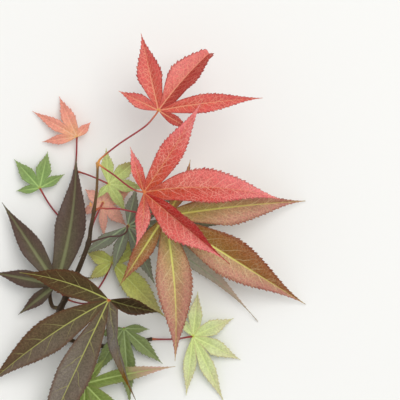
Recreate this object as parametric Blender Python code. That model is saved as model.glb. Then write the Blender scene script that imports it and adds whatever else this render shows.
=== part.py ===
"""Leafy twig cut from a red-leaved Japanese maple, lying down, as closed solids.

The tables below are in millimetres. X and Y are the plan of the twig as it is seen from
straight above, and Z is the height over the surface that it lies on. Everything is moved
by PLAN_MIDDLE, so that the model's origin is under the middle of the twig's box.
"""

import math
from dataclasses import dataclass

import bmesh
import bpy
import numpy as np
from mathutils import Matrix, Vector

MM = 0.001
PLAN_MIDDLE = (-27.5, -25.75)

# Blades: a lobe is two flat strips that rise from its midrib like the sides of a valley.
BLADE_THICKNESS = 1.0
WIDEST_AT = 0.43            # share of a lobe's length where it is widest
TIP_TAPER = 0.18            # how much of a lobe's taper is straight; the rest is a soft curve
SINUS_FOOT = 4.0            # distance from the stalk to the notch between two short lobes
SINUS_SHARE = 0.13          # how much further out that notch is for each mm of lobe
SINUS_REACH = 0.25          # share of a lobe over which its edge runs out from the notch
TOOTH_DEPTH = 0.055         # share of the half width between a tooth and the next notch
ROW_LENGTH = 5.0            # length of lobe that one row of faces covers
FEWEST_ROWS, MOST_ROWS = 7, 15
DROOP_POWER = 1.6           # a lobe leaves the stalk level and falls ever faster
ROLL_REACH = 0.35           # share of a lobe over which it turns to its full roll
CURL_RADIUS = 3.0
CURL_ANGLE = math.radians(130.0)
WELD_DISTANCE = 0.02        # rim points closer than this become one point

# Wood, stalks and bud.
CLEARANCE = 0.3             # between a stalk and the wood or the blade that it meets
WOOD_STEP = 2.4             # distance between the rings of the wood's tubes
STALK_STEP = 3.0
STALK_RADIUS = 0.42
STALK_FOOT_FLARE, STALK_TIP_FLARE, FLARE_LENGTH = 0.30, 0.14, 1.6
NODE_SWELL, NODE_LENGTH = 0.34, 1.7
BUD_CENTRE, BUD_LENGTH, BUD_WIDTH = (-54.15, -2.1, 30.3), 2.8, 1.5
BUD_LEAN = (-0.12, 0.93, 0.35)
WOOD_SIDES, STALK_SIDES = 3, 2      # bevel resolutions: 10 sides and 8 sides


@dataclass(frozen=True)
class Lobe:
    """One finger of a leaf.

    tip: its end in the plan and its height; a curled lobe's is where it would end if flat.
    half: half of its greatest width, measured along the blade.
    bow: how far the middle of the midrib stands off to the left of the straight line.
    fold: angle in degrees of each side above level; negative sides fall from the midrib.
    roll: turn in degrees about the midrib, which lifts the left side.
    curl: length of the end that is rolled under.
    shoulder: how suddenly it swells past the notches beside it; 1 is a straight line.
    slim: how fast it narrows past its widest; more than 1 is faster than usual.
    """

    tip: tuple
    half: float
    bow: float = 0.0
    fold: float = 20.0
    roll: float = 0.0
    curl: float = 0.0
    shoulder: float = 1.6
    slim: float = 1.0


@dataclass(frozen=True)
class Leaf:
    """A palmate leaf: its lobes clockwise, starting and ending beside the stalk."""

    name: str
    colour: str
    foot: tuple
    lobes: tuple
    stalk_from: str
    stalk_route: tuple = ()
    stalk_colour: str = "7A2A2C"
    stalk_above: bool = False


# The wood: points along each axis as x, y, height and radius.
STEM = ((-50.5, 18.0, 37.0, 0.62), (-51.1, 5.2, 33.0, 0.68), (-52.5, -5.5, 29.0, 0.85),
        (-54.2, -14.0, 25.5, 0.98), (-55.4, -21.5, 22.2, 1.12), (-60.3, -34.3, 17.5, 1.25),
        (-67.0, -49.0, 12.5, 1.45), (-69.5, -54.0, 10.5, 1.5), (-73.0, -63.0, 7.0, 1.6),
        (-77.0, -75.0, 1.5, 1.65))
UPPER_SHOOT = ((-74.0, -52.5, 5.0, 1.0), (-75.0, -42.5, 1.6, 0.95), (-72.0, -27.5, 1.0, 0.9),
               (-68.0, -10.0, 0.9, 0.85), (-64.5, 5.0, 0.9, 0.8), (-62.5, 14.5, 1.0, 0.75))
LOWER_SHOOT = ((-69.0, -68.0, 3.0, 1.1), (-60.0, -71.5, 1.4, 1.0), (-50.0, -73.0, 1.0, 0.95),
               (-37.5, -72.0, 0.95, 0.9), (-24.5, -69.5, 0.9, 0.8))

# The points of the wood at which stalks and shoots stand.
NODES = {
    "top": (STEM, 0), "second": (STEM, 2), "third": (STEM, 4), "fourth": (STEM, 6),
    "fifth": (STEM, 7), "sixth": (STEM, 8), "upper_shoot_middle": (UPPER_SHOOT, 3),
    "upper_shoot_end": (UPPER_SHOOT, 5), "lower_shoot_foot": (LOWER_SHOOT, 2),
    "lower_shoot_middle": (LOWER_SHOOT, 3), "lower_shoot_end": (LOWER_SHOOT, 4),
}

LEAVES = (
    Leaf("coral_leaf", "CC554F", (-20.5, 44.2, 40.0), (
        Lobe((-40.5, 54.0, 35.0), 3.7),
        Lobe((-29.2, 82.5, 36.0), 6.7, roll=-12.0, shoulder=1.0),
        Lobe((12.0, 79.2, 36.0), 8.5, bow=1.5, fold=30.0, roll=-21.0, curl=13.0, shoulder=1.2),
        Lobe((31.3, 50.5, 31.0), 4.9, bow=0.8),
        Lobe((-4.5, 34.5, 34.0), 2.6)),
        "top", ((-48.6, 20.8, 38.0), (-39.7, 27.8, 40.0), (-27.5, 36.0, 40.2),
                (-22.6, 41.2, 38.9))),
    Leaf("crimson_leaf", "C2424A", (-27.7, 3.8, 46.0), (
        Lobe((-34.5, 26.5, 42.0), 3.1),
        Lobe((1.8, 50.2, 45.0), 6.2, bow=-0.8, fold=18.0, slim=1.2),
        Lobe((41.0, 0.0, 24.0), 9.2, bow=4.2, fold=18.0, roll=-18.0),
        Lobe((15.0, -32.0, 34.0), 9.2, fold=37.0, roll=25.0, slim=1.5),
        Lobe((-32.0, -23.5, 38.0), 3.9, bow=1.6)),
        "top", ((-48.4, 16.4, 37.6), (-42.0, 12.0, 39.6), (-36.6, 7.7, 42.2),
                (-32.0, 4.8, 43.8))),
    Leaf("bronze_leaf", "96655A", (-17.5, -8.0, 32.0), (
        Lobe((-4.8, 20.2, 30.0), 3.6, bow=-2.2),
        Lobe((53.0, -0.5, 0.9), 9.3, bow=1.0, fold=28.0, roll=10.0, shoulder=1.3),
        Lobe((53.0, -52.3, 0.88), 10.8, fold=22.0, shoulder=1.3),
        Lobe((-12.5, -80.5, 12.0), 9.7, bow=2.5, fold=22.0),
        Lobe((-40.2, -43.0, 22.0), 4.9, roll=-8.0)),
        "second", ((-49.7, -4.0, 29.6), (-46.6, -4.3, 30.0), (-40.5, -4.3, 30.4),
                   (-32.5, -5.9, 30.4), (-24.0, -6.9, 30.2))),
    Leaf("purple_leaf", "4F3D38", (-45.2, -49.5, 27.0), (
        Lobe((-19.5, -55.8, 24.0), 4.3, bow=-0.5),
        Lobe((-32.0, -100.0, 14.0), 5.2, bow=-2.0, roll=58.0),
        Lobe((-85.0, -134.0, 0.94), 9.0),
        Lobe((-108.0, -94.0, 3.0), 9.0, bow=-2.5),
        Lobe((-90.0, -36.0, 20.0), 6.9, bow=-2.2)),
        "fourth", ((-63.0, -50.6, 14.6), (-57.5, -51.5, 18.5), (-51.0, -50.6, 23.0))),
    Leaf("grey_leaf", "5C6852", (-36.0, -13.0, 20.0), (
        Lobe((-31.5, 7.0, 17.0), 3.4, fold=-18.0, shoulder=1.2),
        Lobe((-12.0, 2.0, 16.0), 3.2, fold=-18.0, shoulder=1.2),
        Lobe((13.5, -12.0, 13.0), 4.1, fold=-18.0, shoulder=1.1),
        Lobe((29.0, -61.0, 0.8), 5.4, bow=5.0, fold=-18.0, roll=36.0, shoulder=1.0, slim=1.4),
        Lobe((-22.0, -43.0, 13.0), 4.2, fold=-18.0, shoulder=1.1),
        Lobe((-43.5, -36.5, 12.0), 3.2, bow=-0.6, fold=-18.0, shoulder=1.0),
        Lobe((-60.5, -28.5, 12.0), 3.4, fold=-18.0, shoulder=1.0)),
        "third", ((-52.2, -20.2, 22.8), (-45.0, -18.2, 24.0), (-39.5, -17.7, 23.9),
                  (-36.6, -15.8, 23.0)),
        stalk_colour="4A2A24", stalk_above=True),
    Leaf("umber_leaf", "65574E", (-71.5, -42.0, 12.0), (
        Lobe((-91.0, -57.5, 5.0), 3.4),
        Lobe((-104.0, -36.0, 5.0), 4.6),
        Lobe((-99.0, -1.0, 4.0), 5.8, shoulder=1.3),
        Lobe((-61.8, 22.5, 8.5), 8.1, bow=-2.6, shoulder=1.3),
        Lobe((-53.5, -38.5, 7.0), 2.8)),
        "fourth", ((-69.7, -45.4, 11.0),)),
    Leaf("outer_salmon_leaf", "D98068", (-61.5, 31.5, 6.0), (
        Lobe((-79.0, 29.0, 2.0), 2.6),
        Lobe((-84.0, 44.5, 1.0), 3.0, shoulder=1.2),
        Lobe((-70.5, 52.0, 1.6), 3.6, shoulder=1.2),
        Lobe((-54.5, 39.0, 3.0), 2.3)),
        "upper_shoot_end", ((-61.9, 20.0, 1.5), (-61.6, 26.0, 2.6))),
    Leaf("inner_salmon_leaf", "DC8468", (-48.5, -1.5, 9.0), (
        Lobe((-60.5, -7.5, 3.5), 2.4),
        Lobe((-57.5, 5.5, 4.0), 3.0),
        Lobe((-45.4, 9.5, 5.0), 2.4),
        Lobe((-34.5, 4.5, 4.5), 4.0, shoulder=1.2),
        Lobe((-36.5, -13.0, 4.5), 3.4),
        Lobe((-48.0, -19.0, 4.0), 2.2)),
        "third", ((-55.3, -20.4, 17.0), (-53.6, -13.0, 13.6), (-51.0, -6.5, 11.2)),
        stalk_above=True),
    Leaf("lime_leaf", "AFC957", (-3.5, -68.0, 5.5), (
        Lobe((-10.5, -57.5, 3.0), 2.2),
        Lobe((-1.0, -45.5, 2.0), 3.6),
        Lobe((17.0, -59.0, 1.6), 4.0, shoulder=1.3),
        Lobe((20.5, -80.0, 1.0), 4.2, shoulder=1.2),
        Lobe((12.0, -101.0, 1.0), 3.8, shoulder=1.2),
        Lobe((-7.0, -98.0, 2.0), 3.4)),
        "lower_shoot_end", ((-20.0, -69.6, 1.1), (-12.0, -69.4, 1.9))),
    Leaf("fern_leaf", "6E8C3E", (-57.5, -91.5, 10.0), (
        Lobe((-47.0, -78.5, 8.0), 2.6),
        Lobe((-12.0, -83.0, 7.0), 3.6, bow=0.8),
        Lobe((-34.5, -116.0, 2.0), 5.2),
        Lobe((-58.0, -126.0, 0.96), 5.4),
        Lobe((-81.0, -114.0, 3.0), 4.6)),
        "lower_shoot_foot", ((-52.2, -78.0, 3.6), (-55.4, -85.0, 6.4))),
    Leaf("olive_leaf", "9C9A4A", (-44.0, -31.0, 6.5), (
        Lobe((-56.0, -40.0, 2.8), 3.2),
        Lobe((-57.0, -26.0, 3.5), 3.8),
        Lobe((-25.5, -18.0, 4.0), 4.4),
        Lobe((-17.0, -59.0, 1.6), 6.2)),
        "fifth", ((-63.5, -56.4, 6.5), (-56.0, -51.5, 2.8), (-49.0, -41.5, 2.2),
                  (-45.6, -35.0, 3.4))),
    Leaf("moss_leaf", "5F8045", (-38.0, -64.0, 6.5), (
        Lobe((-25.0, -64.5, 4.5), 2.4),
        Lobe((-18.5, -82.0, 2.5), 3.8, shoulder=1.3),
        Lobe((-35.0, -103.0, 2.0), 4.6, shoulder=1.2),
        Lobe((-54.0, -89.0, 2.5), 3.8, shoulder=1.3),
        Lobe((-51.5, -67.5, 4.5), 2.6)),
        "lower_shoot_middle", ((-42.0, -70.4, 2.4), (-39.6, -67.0, 3.6))),
    Leaf("sage_leaf", "9CB45C", (-45.5, 8.0, 15.0), (
        Lobe((-46.8, 26.0, 11.0), 3.4, shoulder=1.2),
        Lobe((-30.5, 20.8, 10.5), 3.9, shoulder=1.2),
        Lobe((-27.0, 6.0, 11.5), 3.3, shoulder=1.1),
        Lobe((-36.5, -6.5, 12.0), 2.8, shoulder=1.2),
        Lobe((-51.5, 0.5, 13.2), 1.8)),
        "upper_shoot_end", ((-59.0, 13.6, 2.4), (-53.0, 11.4, 8.6))),
    Leaf("jade_leaf", "67924A", (-80.0, 6.0, 5.0), (
        Lobe((-92.0, 4.5, 1.6), 2.2),
        Lobe((-93.0, 20.5, 1.2), 3.6, shoulder=1.3),
        Lobe((-76.0, 24.5, 1.6), 4.0, shoulder=1.2),
        Lobe((-67.5, 13.0, 1.8), 2.6, shoulder=1.3)),
        "upper_shoot_middle", ((-71.5, -7.0, 1.4), (-76.0, -1.0, 1.9))),
)

WOOD_COLOUR, SHOOT_COLOUR, BUD_COLOUR = "3B2C1E", "4A3424", "B9773E"
BLADE_ROUGHNESS, WOOD_ROUGHNESS, STALK_ROUGHNESS = 0.5, 0.6, 0.45


def clear_scene():
    """Removes everything that the opened file holds."""
    for item in list(bpy.data.objects):
        bpy.data.objects.remove(item, do_unlink=True)


def linear(hex_colour):
    """Turns an sRGB hex colour into the linear RGBA that a shader takes."""
    channels = [int(hex_colour[i:i + 2], 16) / 255.0 for i in (0, 2, 4)]
    return [c / 12.92 if c <= 0.04045 else ((c + 0.055) / 1.055) ** 2.4 for c in channels] + [1.0]


def add_material(name, hex_colour, roughness):
    """Makes a plain Principled material."""
    material = bpy.data.materials.new(name)
    material.use_nodes = True
    shader = material.node_tree.nodes["Principled BSDF"]
    shader.inputs["Base Color"].default_value = linear(hex_colour)
    shader.inputs["Roughness"].default_value = roughness
    shader.inputs["Metallic"].default_value = 0.0
    return material


def placed(points):
    """Moves plan points in mm to the model's origin and turns them into metres."""
    points = np.asarray(points, float)
    return (points - [PLAN_MIDDLE[0], PLAN_MIDDLE[1], 0.0]) * MM


def unit(vectors):
    """Scales each vector to a length of one."""
    vectors = np.asarray(vectors, float)
    return vectors / np.linalg.norm(vectors, axis=-1, keepdims=True)


class Blade:
    """The geometry of one lobe of a leaf, as functions of the share t of its length."""

    def __init__(self, foot, lobe):
        self.foot = np.array(foot, float)
        self.lobe = lobe
        reach = np.array(lobe.tip[:2]) - self.foot[:2]
        self.length = float(np.linalg.norm(reach))
        self.ahead = reach / self.length
        self.left = np.array([-self.ahead[1], self.ahead[0]])

    def midrib(self, t):
        """Points on the midrib: bowed in the plan, drooping, its end curled under.

        The bow is a parabola that is highest, at its full value, half way along.
        """
        t = np.asarray(t, float)
        along = t * self.length
        flat_part = self.length - self.lobe.curl
        turn = np.clip((along - flat_part) / CURL_RADIUS, 0.0, CURL_ANGLE)
        beyond = np.maximum(along - flat_part - CURL_RADIUS * CURL_ANGLE, 0.0)
        forward = np.minimum(along, flat_part) + CURL_RADIUS * np.sin(turn)
        forward = forward + beyond * math.cos(CURL_ANGLE)
        sunk = CURL_RADIUS * (1.0 - np.cos(turn)) + beyond * math.sin(CURL_ANGLE)
        sideways = 4.0 * self.lobe.bow * t * (1.0 - t)
        plan = self.foot[:2] + np.outer(forward, self.ahead) + np.outer(sideways, self.left)
        height = self.foot[2] + (self.lobe.tip[2] - self.foot[2]) * t ** DROOP_POWER - sunk
        return np.column_stack([plan, height])

    def frame(self, t):
        """Directions across the lobe, to its left, and out of its upper face."""
        t = np.asarray(t, float)
        step = 1e-4
        tangent = unit(self.midrib(t + step) - self.midrib(t - step))
        heading = self.ahead + np.outer(4.0 * self.lobe.bow * (1.0 - 2.0 * t), self.left) / self.length
        across = unit(np.column_stack([-heading[:, 1], heading[:, 0], np.zeros(len(t))]))
        out = unit(np.cross(tangent, across))
        roll = math.radians(self.lobe.roll) * np.clip(t / ROLL_REACH, 0.0, 1.0)[:, None]
        return np.cos(roll) * across + np.sin(roll) * out, np.cos(roll) * out - np.sin(roll) * across

    def rim(self, t, half_width, side):
        """Points on the left (side 1) or right (side -1) edge for given half widths."""
        across, out = self.frame(t)
        fold = math.radians(self.lobe.fold)
        direction = side * math.cos(fold) * across + math.sin(fold) * out
        return self.midrib(t) + np.asarray(half_width)[:, None] * direction

    def half_width(self, t, start, at_start):
        """Half width: it swells from the notch to its widest and then tapers to the tip."""
        t = np.asarray(t, float)
        swell = np.clip((t - start) / (WIDEST_AT - start), 0.0, 1.0)
        taper = np.clip((t - WIDEST_AT) / (1.0 - WIDEST_AT), 0.0, 1.0)
        rising = at_start + (self.lobe.half - at_start) * (1.0 - (1.0 - swell) ** self.lobe.shoulder)
        soft = np.cos(0.5 * math.pi * taper) ** 2
        falling = (1.0 - TIP_TAPER) * soft + TIP_TAPER * (1.0 - taper)
        return np.where(t < WIDEST_AT, rising, self.lobe.half * falling ** self.lobe.slim)


def notch_between(first, second):
    """The notch that two neighbouring lobes share, and where it lies along each of them."""
    reach = SINUS_FOOT + SINUS_SHARE * min(first.length, second.length)
    halfway = unit(first.ahead + second.ahead)
    cosine = float(halfway @ first.ahead)
    reach *= cosine
    plan = first.foot[:2] + reach * halfway
    heights, starts, widths = [], [], []
    for blade, side in ((first, -1.0), (second, 1.0)):
        start = reach * cosine / blade.length
        width = reach * math.sqrt(1.0 - cosine ** 2) / math.cos(math.radians(blade.lobe.fold))
        heights.append(blade.rim([start], [width], side)[0][2])
        starts.append(start)
        widths.append(width)
    return np.array([plan[0], plan[1], sum(heights) / 2.0]), starts, widths


def lobe_rows(blade, left_notch, right_notch):
    """Left edge, midrib and right edge of a lobe, row by row from the notches to the tip."""
    count = int(np.clip(round(blade.length / ROW_LENGTH), FEWEST_ROWS, MOST_ROWS))
    share = np.linspace(0.0, 1.0, count)
    starts = [notch[1] for notch in (left_notch, right_notch) if notch]
    middle_start = sum(starts) / len(starts)
    middle = middle_start + (1.0 - middle_start) * share
    edges = []
    for notch, side in ((left_notch, 1.0), (right_notch, -1.0)):
        point, start, width = notch or (None, middle_start, None)
        t = start + (1.0 - start) * share
        half = blade.half_width(t, start, width) if notch else blade.half_width(t, 0.0, 0.0)
        zigzag = np.where(np.arange(count) % 2 == 0, -TOOTH_DEPTH, TOOTH_DEPTH)
        zigzag[[0, -1]] = 0.0
        edge = blade.rim(t, half * (1.0 + zigzag), side)
        if notch:
            fade = np.clip(1.0 - (t - start) / SINUS_REACH, 0.0, 1.0)[:, None] ** 2
            edge = edge + fade * (point - edge[0])
        edges.append(edge)
    return edges[0], blade.midrib(middle), edges[1]


def leaf_surface(leaf):
    """Points in mm and faces of a leaf's upper side, all lobes joined at the stalk."""
    blades = [Blade(leaf.foot, lobe) for lobe in leaf.lobes]
    notches = [notch_between(a, b) for a, b in zip(blades, blades[1:])]
    points, faces = [np.array(leaf.foot, float)], []
    for i, blade in enumerate(blades):
        left = (notches[i - 1][0], notches[i - 1][1][1], notches[i - 1][2][1]) if i else None
        right = (notches[i][0], notches[i][1][0], notches[i][2][0]) if i < len(notches) else None
        rows = lobe_rows(blade, left, right)
        count = len(rows[0])
        first = len(points)
        points.extend(np.vstack(rows))
        left_edge, middle, right_edge = (range(first + k * count, first + (k + 1) * count)
                                         for k in range(3))
        faces += [(0, middle[0], left_edge[0]), (0, right_edge[0], middle[0])]
        for j in range(count - 1):
            faces.append((middle[j], middle[j + 1], left_edge[j + 1], left_edge[j]))
            faces.append((middle[j], right_edge[j], right_edge[j + 1], middle[j + 1]))
    return np.array(points), faces


def add_leaf(leaf):
    """Makes a leaf: its upper side welded into one sheet, and given its thickness."""
    points, faces = leaf_surface(leaf)
    sheet = bmesh.new()
    verts = [sheet.verts.new(p) for p in placed(points)]
    for face in faces:
        sheet.faces.new([verts[k] for k in face])
    bmesh.ops.remove_doubles(sheet, verts=sheet.verts, dist=WELD_DISTANCE * MM)
    mesh = bpy.data.meshes.new(leaf.name)
    sheet.to_mesh(mesh)
    sheet.free()
    mesh.materials.append(add_material(leaf.name, leaf.colour, BLADE_ROUGHNESS))
    blade = bpy.data.objects.new(leaf.name, mesh)
    bpy.context.collection.objects.link(blade)
    thickness = blade.modifiers.new("Thickness", "SOLIDIFY")
    thickness.thickness = BLADE_THICKNESS * MM
    thickness.offset = -1.0


def smooth_route(points, step):
    """Reads a smooth curve through the points at about equal steps.

    Each span is a cubic whose slope at a point follows the points on either side of it.
    """
    points = np.asarray(points, float)
    before = np.vstack([2.0 * points[0] - points[1], points[:-1]])
    after = np.vstack([points[1:], 2.0 * points[-1] - points[-2]])
    slope = 0.5 * (after - before)
    read = []
    for a, b, slope_a, slope_b in zip(points, points[1:], slope, slope[1:]):
        count = max(1, round(float(np.linalg.norm((b - a)[:3])) / step))
        s = np.linspace(0.0, 1.0, count, endpoint=False)[:, None]
        read.append((2 * s ** 3 - 3 * s ** 2 + 1) * a + (s ** 3 - 2 * s ** 2 + s) * slope_a
                    + (3 * s ** 2 - 2 * s ** 3) * b + (s ** 3 - s ** 2) * slope_b)
    return np.vstack(read + [points[-1:]])


def add_tube(name, axis, radii, material, resolution):
    """Makes a round tapering limb as a filled curve through the axis points in mm."""
    curve = bpy.data.curves.new(name, "CURVE")
    curve.dimensions = "3D"
    curve.bevel_depth = MM
    curve.bevel_resolution = resolution
    curve.use_fill_caps = True
    spline = curve.splines.new("POLY")
    spline.points.add(len(axis) - 1)
    for point, place, radius in zip(spline.points, placed(axis), radii):
        point.co = (*place, 1.0)
        point.radius = radius
    curve.materials.append(material)
    bpy.context.collection.objects.link(bpy.data.objects.new(name, curve))


def leaving(node, toward, foot_radius):
    """Where a stalk or shoot starts: just clear of the wood at a node, on the way it goes.

    Past an open end of the wood it starts off the flat end, and elsewhere off the side.
    """
    route, index = NODES[node]
    place, radius = np.array(route[index][:3]), route[index][3]
    if route is STEM:
        radius += NODE_SWELL
    ahead = unit(np.array(toward[:3]) - place)
    last = len(route) - 1
    behind = 1 if index == 0 else index - 1
    axis = unit(place - np.array(route[behind][:3]))
    cosine = float(ahead @ axis)
    sine = math.sqrt(1.0 - cosine ** 2)
    distance = (radius + CLEARANCE + foot_radius * abs(cosine)) / sine
    if index in (0, last) and cosine > 0.0:
        distance = min(distance, (CLEARANCE + foot_radius * sine) / cosine)
    return place + distance * ahead


def add_wood():
    """Makes the main stem, swollen at its nodes, and the two side shoots."""
    bark = add_material("bark", WOOD_COLOUR, WOOD_ROUGHNESS)
    axis = smooth_route(STEM, WOOD_STEP)
    swelling = np.zeros(len(axis))
    for route, index in NODES.values():
        if route is not STEM:
            continue
        away = np.linalg.norm(axis[:, :3] - STEM[index][:3], axis=1)
        swelling += NODE_SWELL * np.exp(-(away / NODE_LENGTH) ** 2)
    add_tube("stem", axis[:, :3], axis[:, 3] + swelling, bark, WOOD_SIDES)
    young_bark = add_material("young_bark", SHOOT_COLOUR, WOOD_ROUGHNESS)
    shoots = (("upper_shoot", UPPER_SHOOT, "fifth"), ("lower_shoot", LOWER_SHOOT, "sixth"))
    for name, route, node in shoots:
        foot = np.append(leaving(node, route[0], route[0][3]), route[0][3])
        axis = smooth_route(np.vstack([foot, route]), 2.0 * WOOD_STEP)
        add_tube(name, axis[:, :3], axis[:, 3], young_bark, STALK_SIDES)


def add_stalk(leaf):
    """Makes a leaf's stalk, from clear of the wood to just under or over the blade's foot."""
    foot = np.array(leaf.foot)
    tip_radius = STALK_RADIUS + STALK_TIP_FLARE
    below = BLADE_THICKNESS + CLEARANCE + tip_radius
    end = foot + [0.0, 0.0, CLEARANCE + tip_radius if leaf.stalk_above else -below]
    foot_radius = STALK_RADIUS + STALK_FOOT_FLARE
    route = [leaving(leaf.stalk_from, leaf.stalk_route[0], foot_radius), *leaf.stalk_route, end]
    axis = smooth_route(route, STALK_STEP)
    along = np.append(0.0, np.cumsum(np.linalg.norm(np.diff(axis, axis=0), axis=1)))
    radii = (STALK_RADIUS + STALK_FOOT_FLARE * np.exp(-along / FLARE_LENGTH)
             + STALK_TIP_FLARE * np.exp(-(along[-1] - along) / FLARE_LENGTH))
    name = leaf.name.replace("leaf", "stalk")
    material = add_material(name, leaf.stalk_colour, STALK_ROUGHNESS)
    add_tube(name, axis, radii, material, STALK_SIDES)


def add_bud():
    """Makes the bud in the angle of the fallen leaf opposite the bronze one."""
    shape = bmesh.new()
    bmesh.ops.create_uvsphere(shape, u_segments=10, v_segments=7, radius=0.5 * MM)
    lean = Vector(BUD_LEAN).to_track_quat("Z", "Y").to_matrix().to_4x4()
    size = Matrix.Diagonal((BUD_WIDTH, BUD_WIDTH, BUD_LENGTH, 1.0))
    shape.transform(Matrix.Translation(placed(BUD_CENTRE)) @ lean @ size)
    mesh = bpy.data.meshes.new("bud")
    shape.to_mesh(mesh)
    shape.free()
    mesh.materials.append(add_material("bud", BUD_COLOUR, WOOD_ROUGHNESS))
    mesh.shade_smooth()
    bpy.context.collection.objects.link(bpy.data.objects.new("bud", mesh))


def main():
    """Builds the whole twig."""
    clear_scene()
    add_wood()
    add_bud()
    for leaf in LEAVES:
        add_stalk(leaf)
        add_leaf(leaf)


if __name__ == "__main__":
    main()
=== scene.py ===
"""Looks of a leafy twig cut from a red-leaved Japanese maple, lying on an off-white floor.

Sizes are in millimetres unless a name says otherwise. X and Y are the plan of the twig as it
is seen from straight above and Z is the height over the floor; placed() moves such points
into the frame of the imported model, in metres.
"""

import logging
import math
from dataclasses import dataclass
from enum import Enum
from functools import partial
from typing import Any, Callable, Optional

import bpy
import numpy as np
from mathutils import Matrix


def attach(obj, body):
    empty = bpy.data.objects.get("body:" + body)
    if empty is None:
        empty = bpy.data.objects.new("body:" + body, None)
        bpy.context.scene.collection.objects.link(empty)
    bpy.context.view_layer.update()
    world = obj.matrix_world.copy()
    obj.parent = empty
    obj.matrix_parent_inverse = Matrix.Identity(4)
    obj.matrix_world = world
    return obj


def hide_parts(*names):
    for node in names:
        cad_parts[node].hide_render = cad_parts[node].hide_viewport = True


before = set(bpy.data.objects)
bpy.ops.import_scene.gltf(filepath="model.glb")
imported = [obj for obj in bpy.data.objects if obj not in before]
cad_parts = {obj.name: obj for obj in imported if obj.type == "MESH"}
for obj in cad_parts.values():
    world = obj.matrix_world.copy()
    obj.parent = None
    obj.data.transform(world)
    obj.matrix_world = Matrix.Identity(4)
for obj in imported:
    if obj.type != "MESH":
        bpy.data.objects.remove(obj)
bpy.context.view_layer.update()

LOG = logging.getLogger("twig")

MM = 0.001
PLAN_MIDDLE = (-27.5, -25.75)

# A lobe's outline and how it lies, as in the part's own source.
WIDEST_AT = 0.43
TIP_TAPER = 0.18
SINUS_FOOT = 4.0
SINUS_SHARE = 0.13
SINUS_REACH = 0.25
DROOP_POWER = 1.6
ROLL_REACH = 0.35
CURL_RADIUS = 3.0
CURL_ANGLE = math.radians(130.0)

# The fine surface of a blade.
BLADE_THICKNESS = 0.30      # thicker than the real 0.2 mm, so that both faces stay clear
RIM_THICKNESS = 0.14
BASE_ROWS = 10              # rows of points between the stalk and the first notch
TOOTH_ROWS = 4              # rows of points that draw one tooth
TOOTH_SPACING = 1.9
FEWEST_TEETH = 9
TOOTH_OUT = (0.0, 0.38, 0.74, 1.0)      # how a tooth rises towards the lobe's tip
TOOTH_FORWARD = (0.0, 0.15, 0.5, 1.1)   # how far it leans forward, in rows
TOOTH_INSET = 0.3           # how far it starts inside the smooth edge, as a share of its depth
TOOTH_LEAST = 0.2           # what is added to every tooth's depth
TOOTH_START, TOOTH_FULL = 0.10, 0.26    # shares of a lobe over which the teeth grow
TOOTH_END = 0.12            # share at the tip over which they shrink
SMALL_TOOTH = 0.5           # every second tooth is this much of the one before it
COLUMNS = np.array([0.0, 0.03, 0.07, 0.13, 0.24, 0.38, 0.53, 0.68, 0.82, 0.92, 1.0])
TOOTH_COLUMNS = 0.82        # teeth only move the surface beyond this share of the width
ARCH = 0.05                 # how far a half bulges, as a share of its width
WAVE_LENGTH = 19.0
WAVE_HEIGHT = 0.045         # of a margin's wave, as a share of the half's width
WAVE_START = 0.15           # share past the notch over which the wave grows
FULL_RELIEF_WIDTH = 1.5     # a narrower half has less relief
VEIN_RAKE = 0.95            # mm that a secondary vein runs forward for each mm outwards
VEIN_SWEEP = 0.25           # how much more it does so at the margin, as a share
VEIN_SLANT = 0.7            # distance from it, as a share of the distance along the midrib
VEIN_GROOVE, VEIN_GROOVE_WIDTH, GROOVE_START = 0.07, 0.32, 0.8
QUILT = 0.14                # how far the blade bulges between two secondary veins
RIB_HEIGHT, RIB_WIDTH = 0.34, 0.42
VALLEY_DEPTH, VALLEY_WIDTH = 0.10, 1.2
FOOT_KNOB, FOOT_KNOB_WIDTH = 0.45, 1.1
UV_SPAN = 200.0             # mm that a blade's UV square covers
BLADE_MAPS = ("Blade", "Lobe", "Vein", "Tint")

# The colours and the fine relief of a blade.
CLOUD_SIZE, MOTTLE_SIZE = 6.0, 0.8      # of the pigment's slow change and of its mottling
WARP_SIZE, WARP_REACH = 2.5, 2.4        # of the noise that bends the net
PATCH_SIZE = 9.0            # over which the net comes and goes
NET_LINES = ((1.0, 1.0, 0.24), (0.5, 0.45, 0.15))   # cell's share, strength, line's width
CELL_SHADE = 0.06           # how far the shades of the smallest meshes differ
WANDER_SIZE, VEIN_STRAY = 8.0, 0.08     # of the noise that bends the secondary veins
DOT_EDGE, DOT_CORE = 1.3, 0.5           # distance from the foot at which the dot shows
BLADE_BUMP = 0.18

# Wood and stalks.
WOOD_STEP, STALK_STEP = 0.35, 0.5
WOOD_SIDES, STALK_SIDES = 36, 18
DOME_RINGS = 4
CUT_RINGS = np.array([0.5, 0.0])        # radii of a flat cut's rings, as shares of the last
NODE_LENGTH = 1.7
RING_OFFSET = 0.75          # distance of a node's two fine grooves from its middle
RING_DEPTH, RING_WIDTH = 0.09, 0.22
RIDGE_HEIGHT, RIDGE_WIDTH = 0.07, 0.3   # of the ridge between them
WRINKLES = ((5, 0.21, 0.035), (9, -0.34, 0.02), (13, 0.8, 0.012))   # waves, drift, height
STALK_RADIUS = 0.42
STALK_FOOT_FLARE, STALK_TIP_FLARE, FLARE_LENGTH = 0.34, 0.16, 1.5
STALK_SEAT = 0.7            # distance of its end from the blade's face, in radii
STALK_LEAD = 0.35           # how far it starts from the wood's middle
BUD_ROWS = 41
SCALE_STEP = 0.09           # height of a bud scale's edge
WELD_DISTANCE = 1e-5
STALK_STREAKS = (14.0, 9.0, 1.0)        # streaks along a stalk and round it
BARK_WRINKLES = (60.0, 12.0, 1.0)       # wrinkles along the UV span and round a limb
BLOTCH_SIZE, PORE_SPACING = 2.5, 1.9
AGE_START, AGE_END = 12.0, 34.0         # distances from the top at which the bark darkens
BARK_SHINE = 0.3            # specular level
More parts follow.
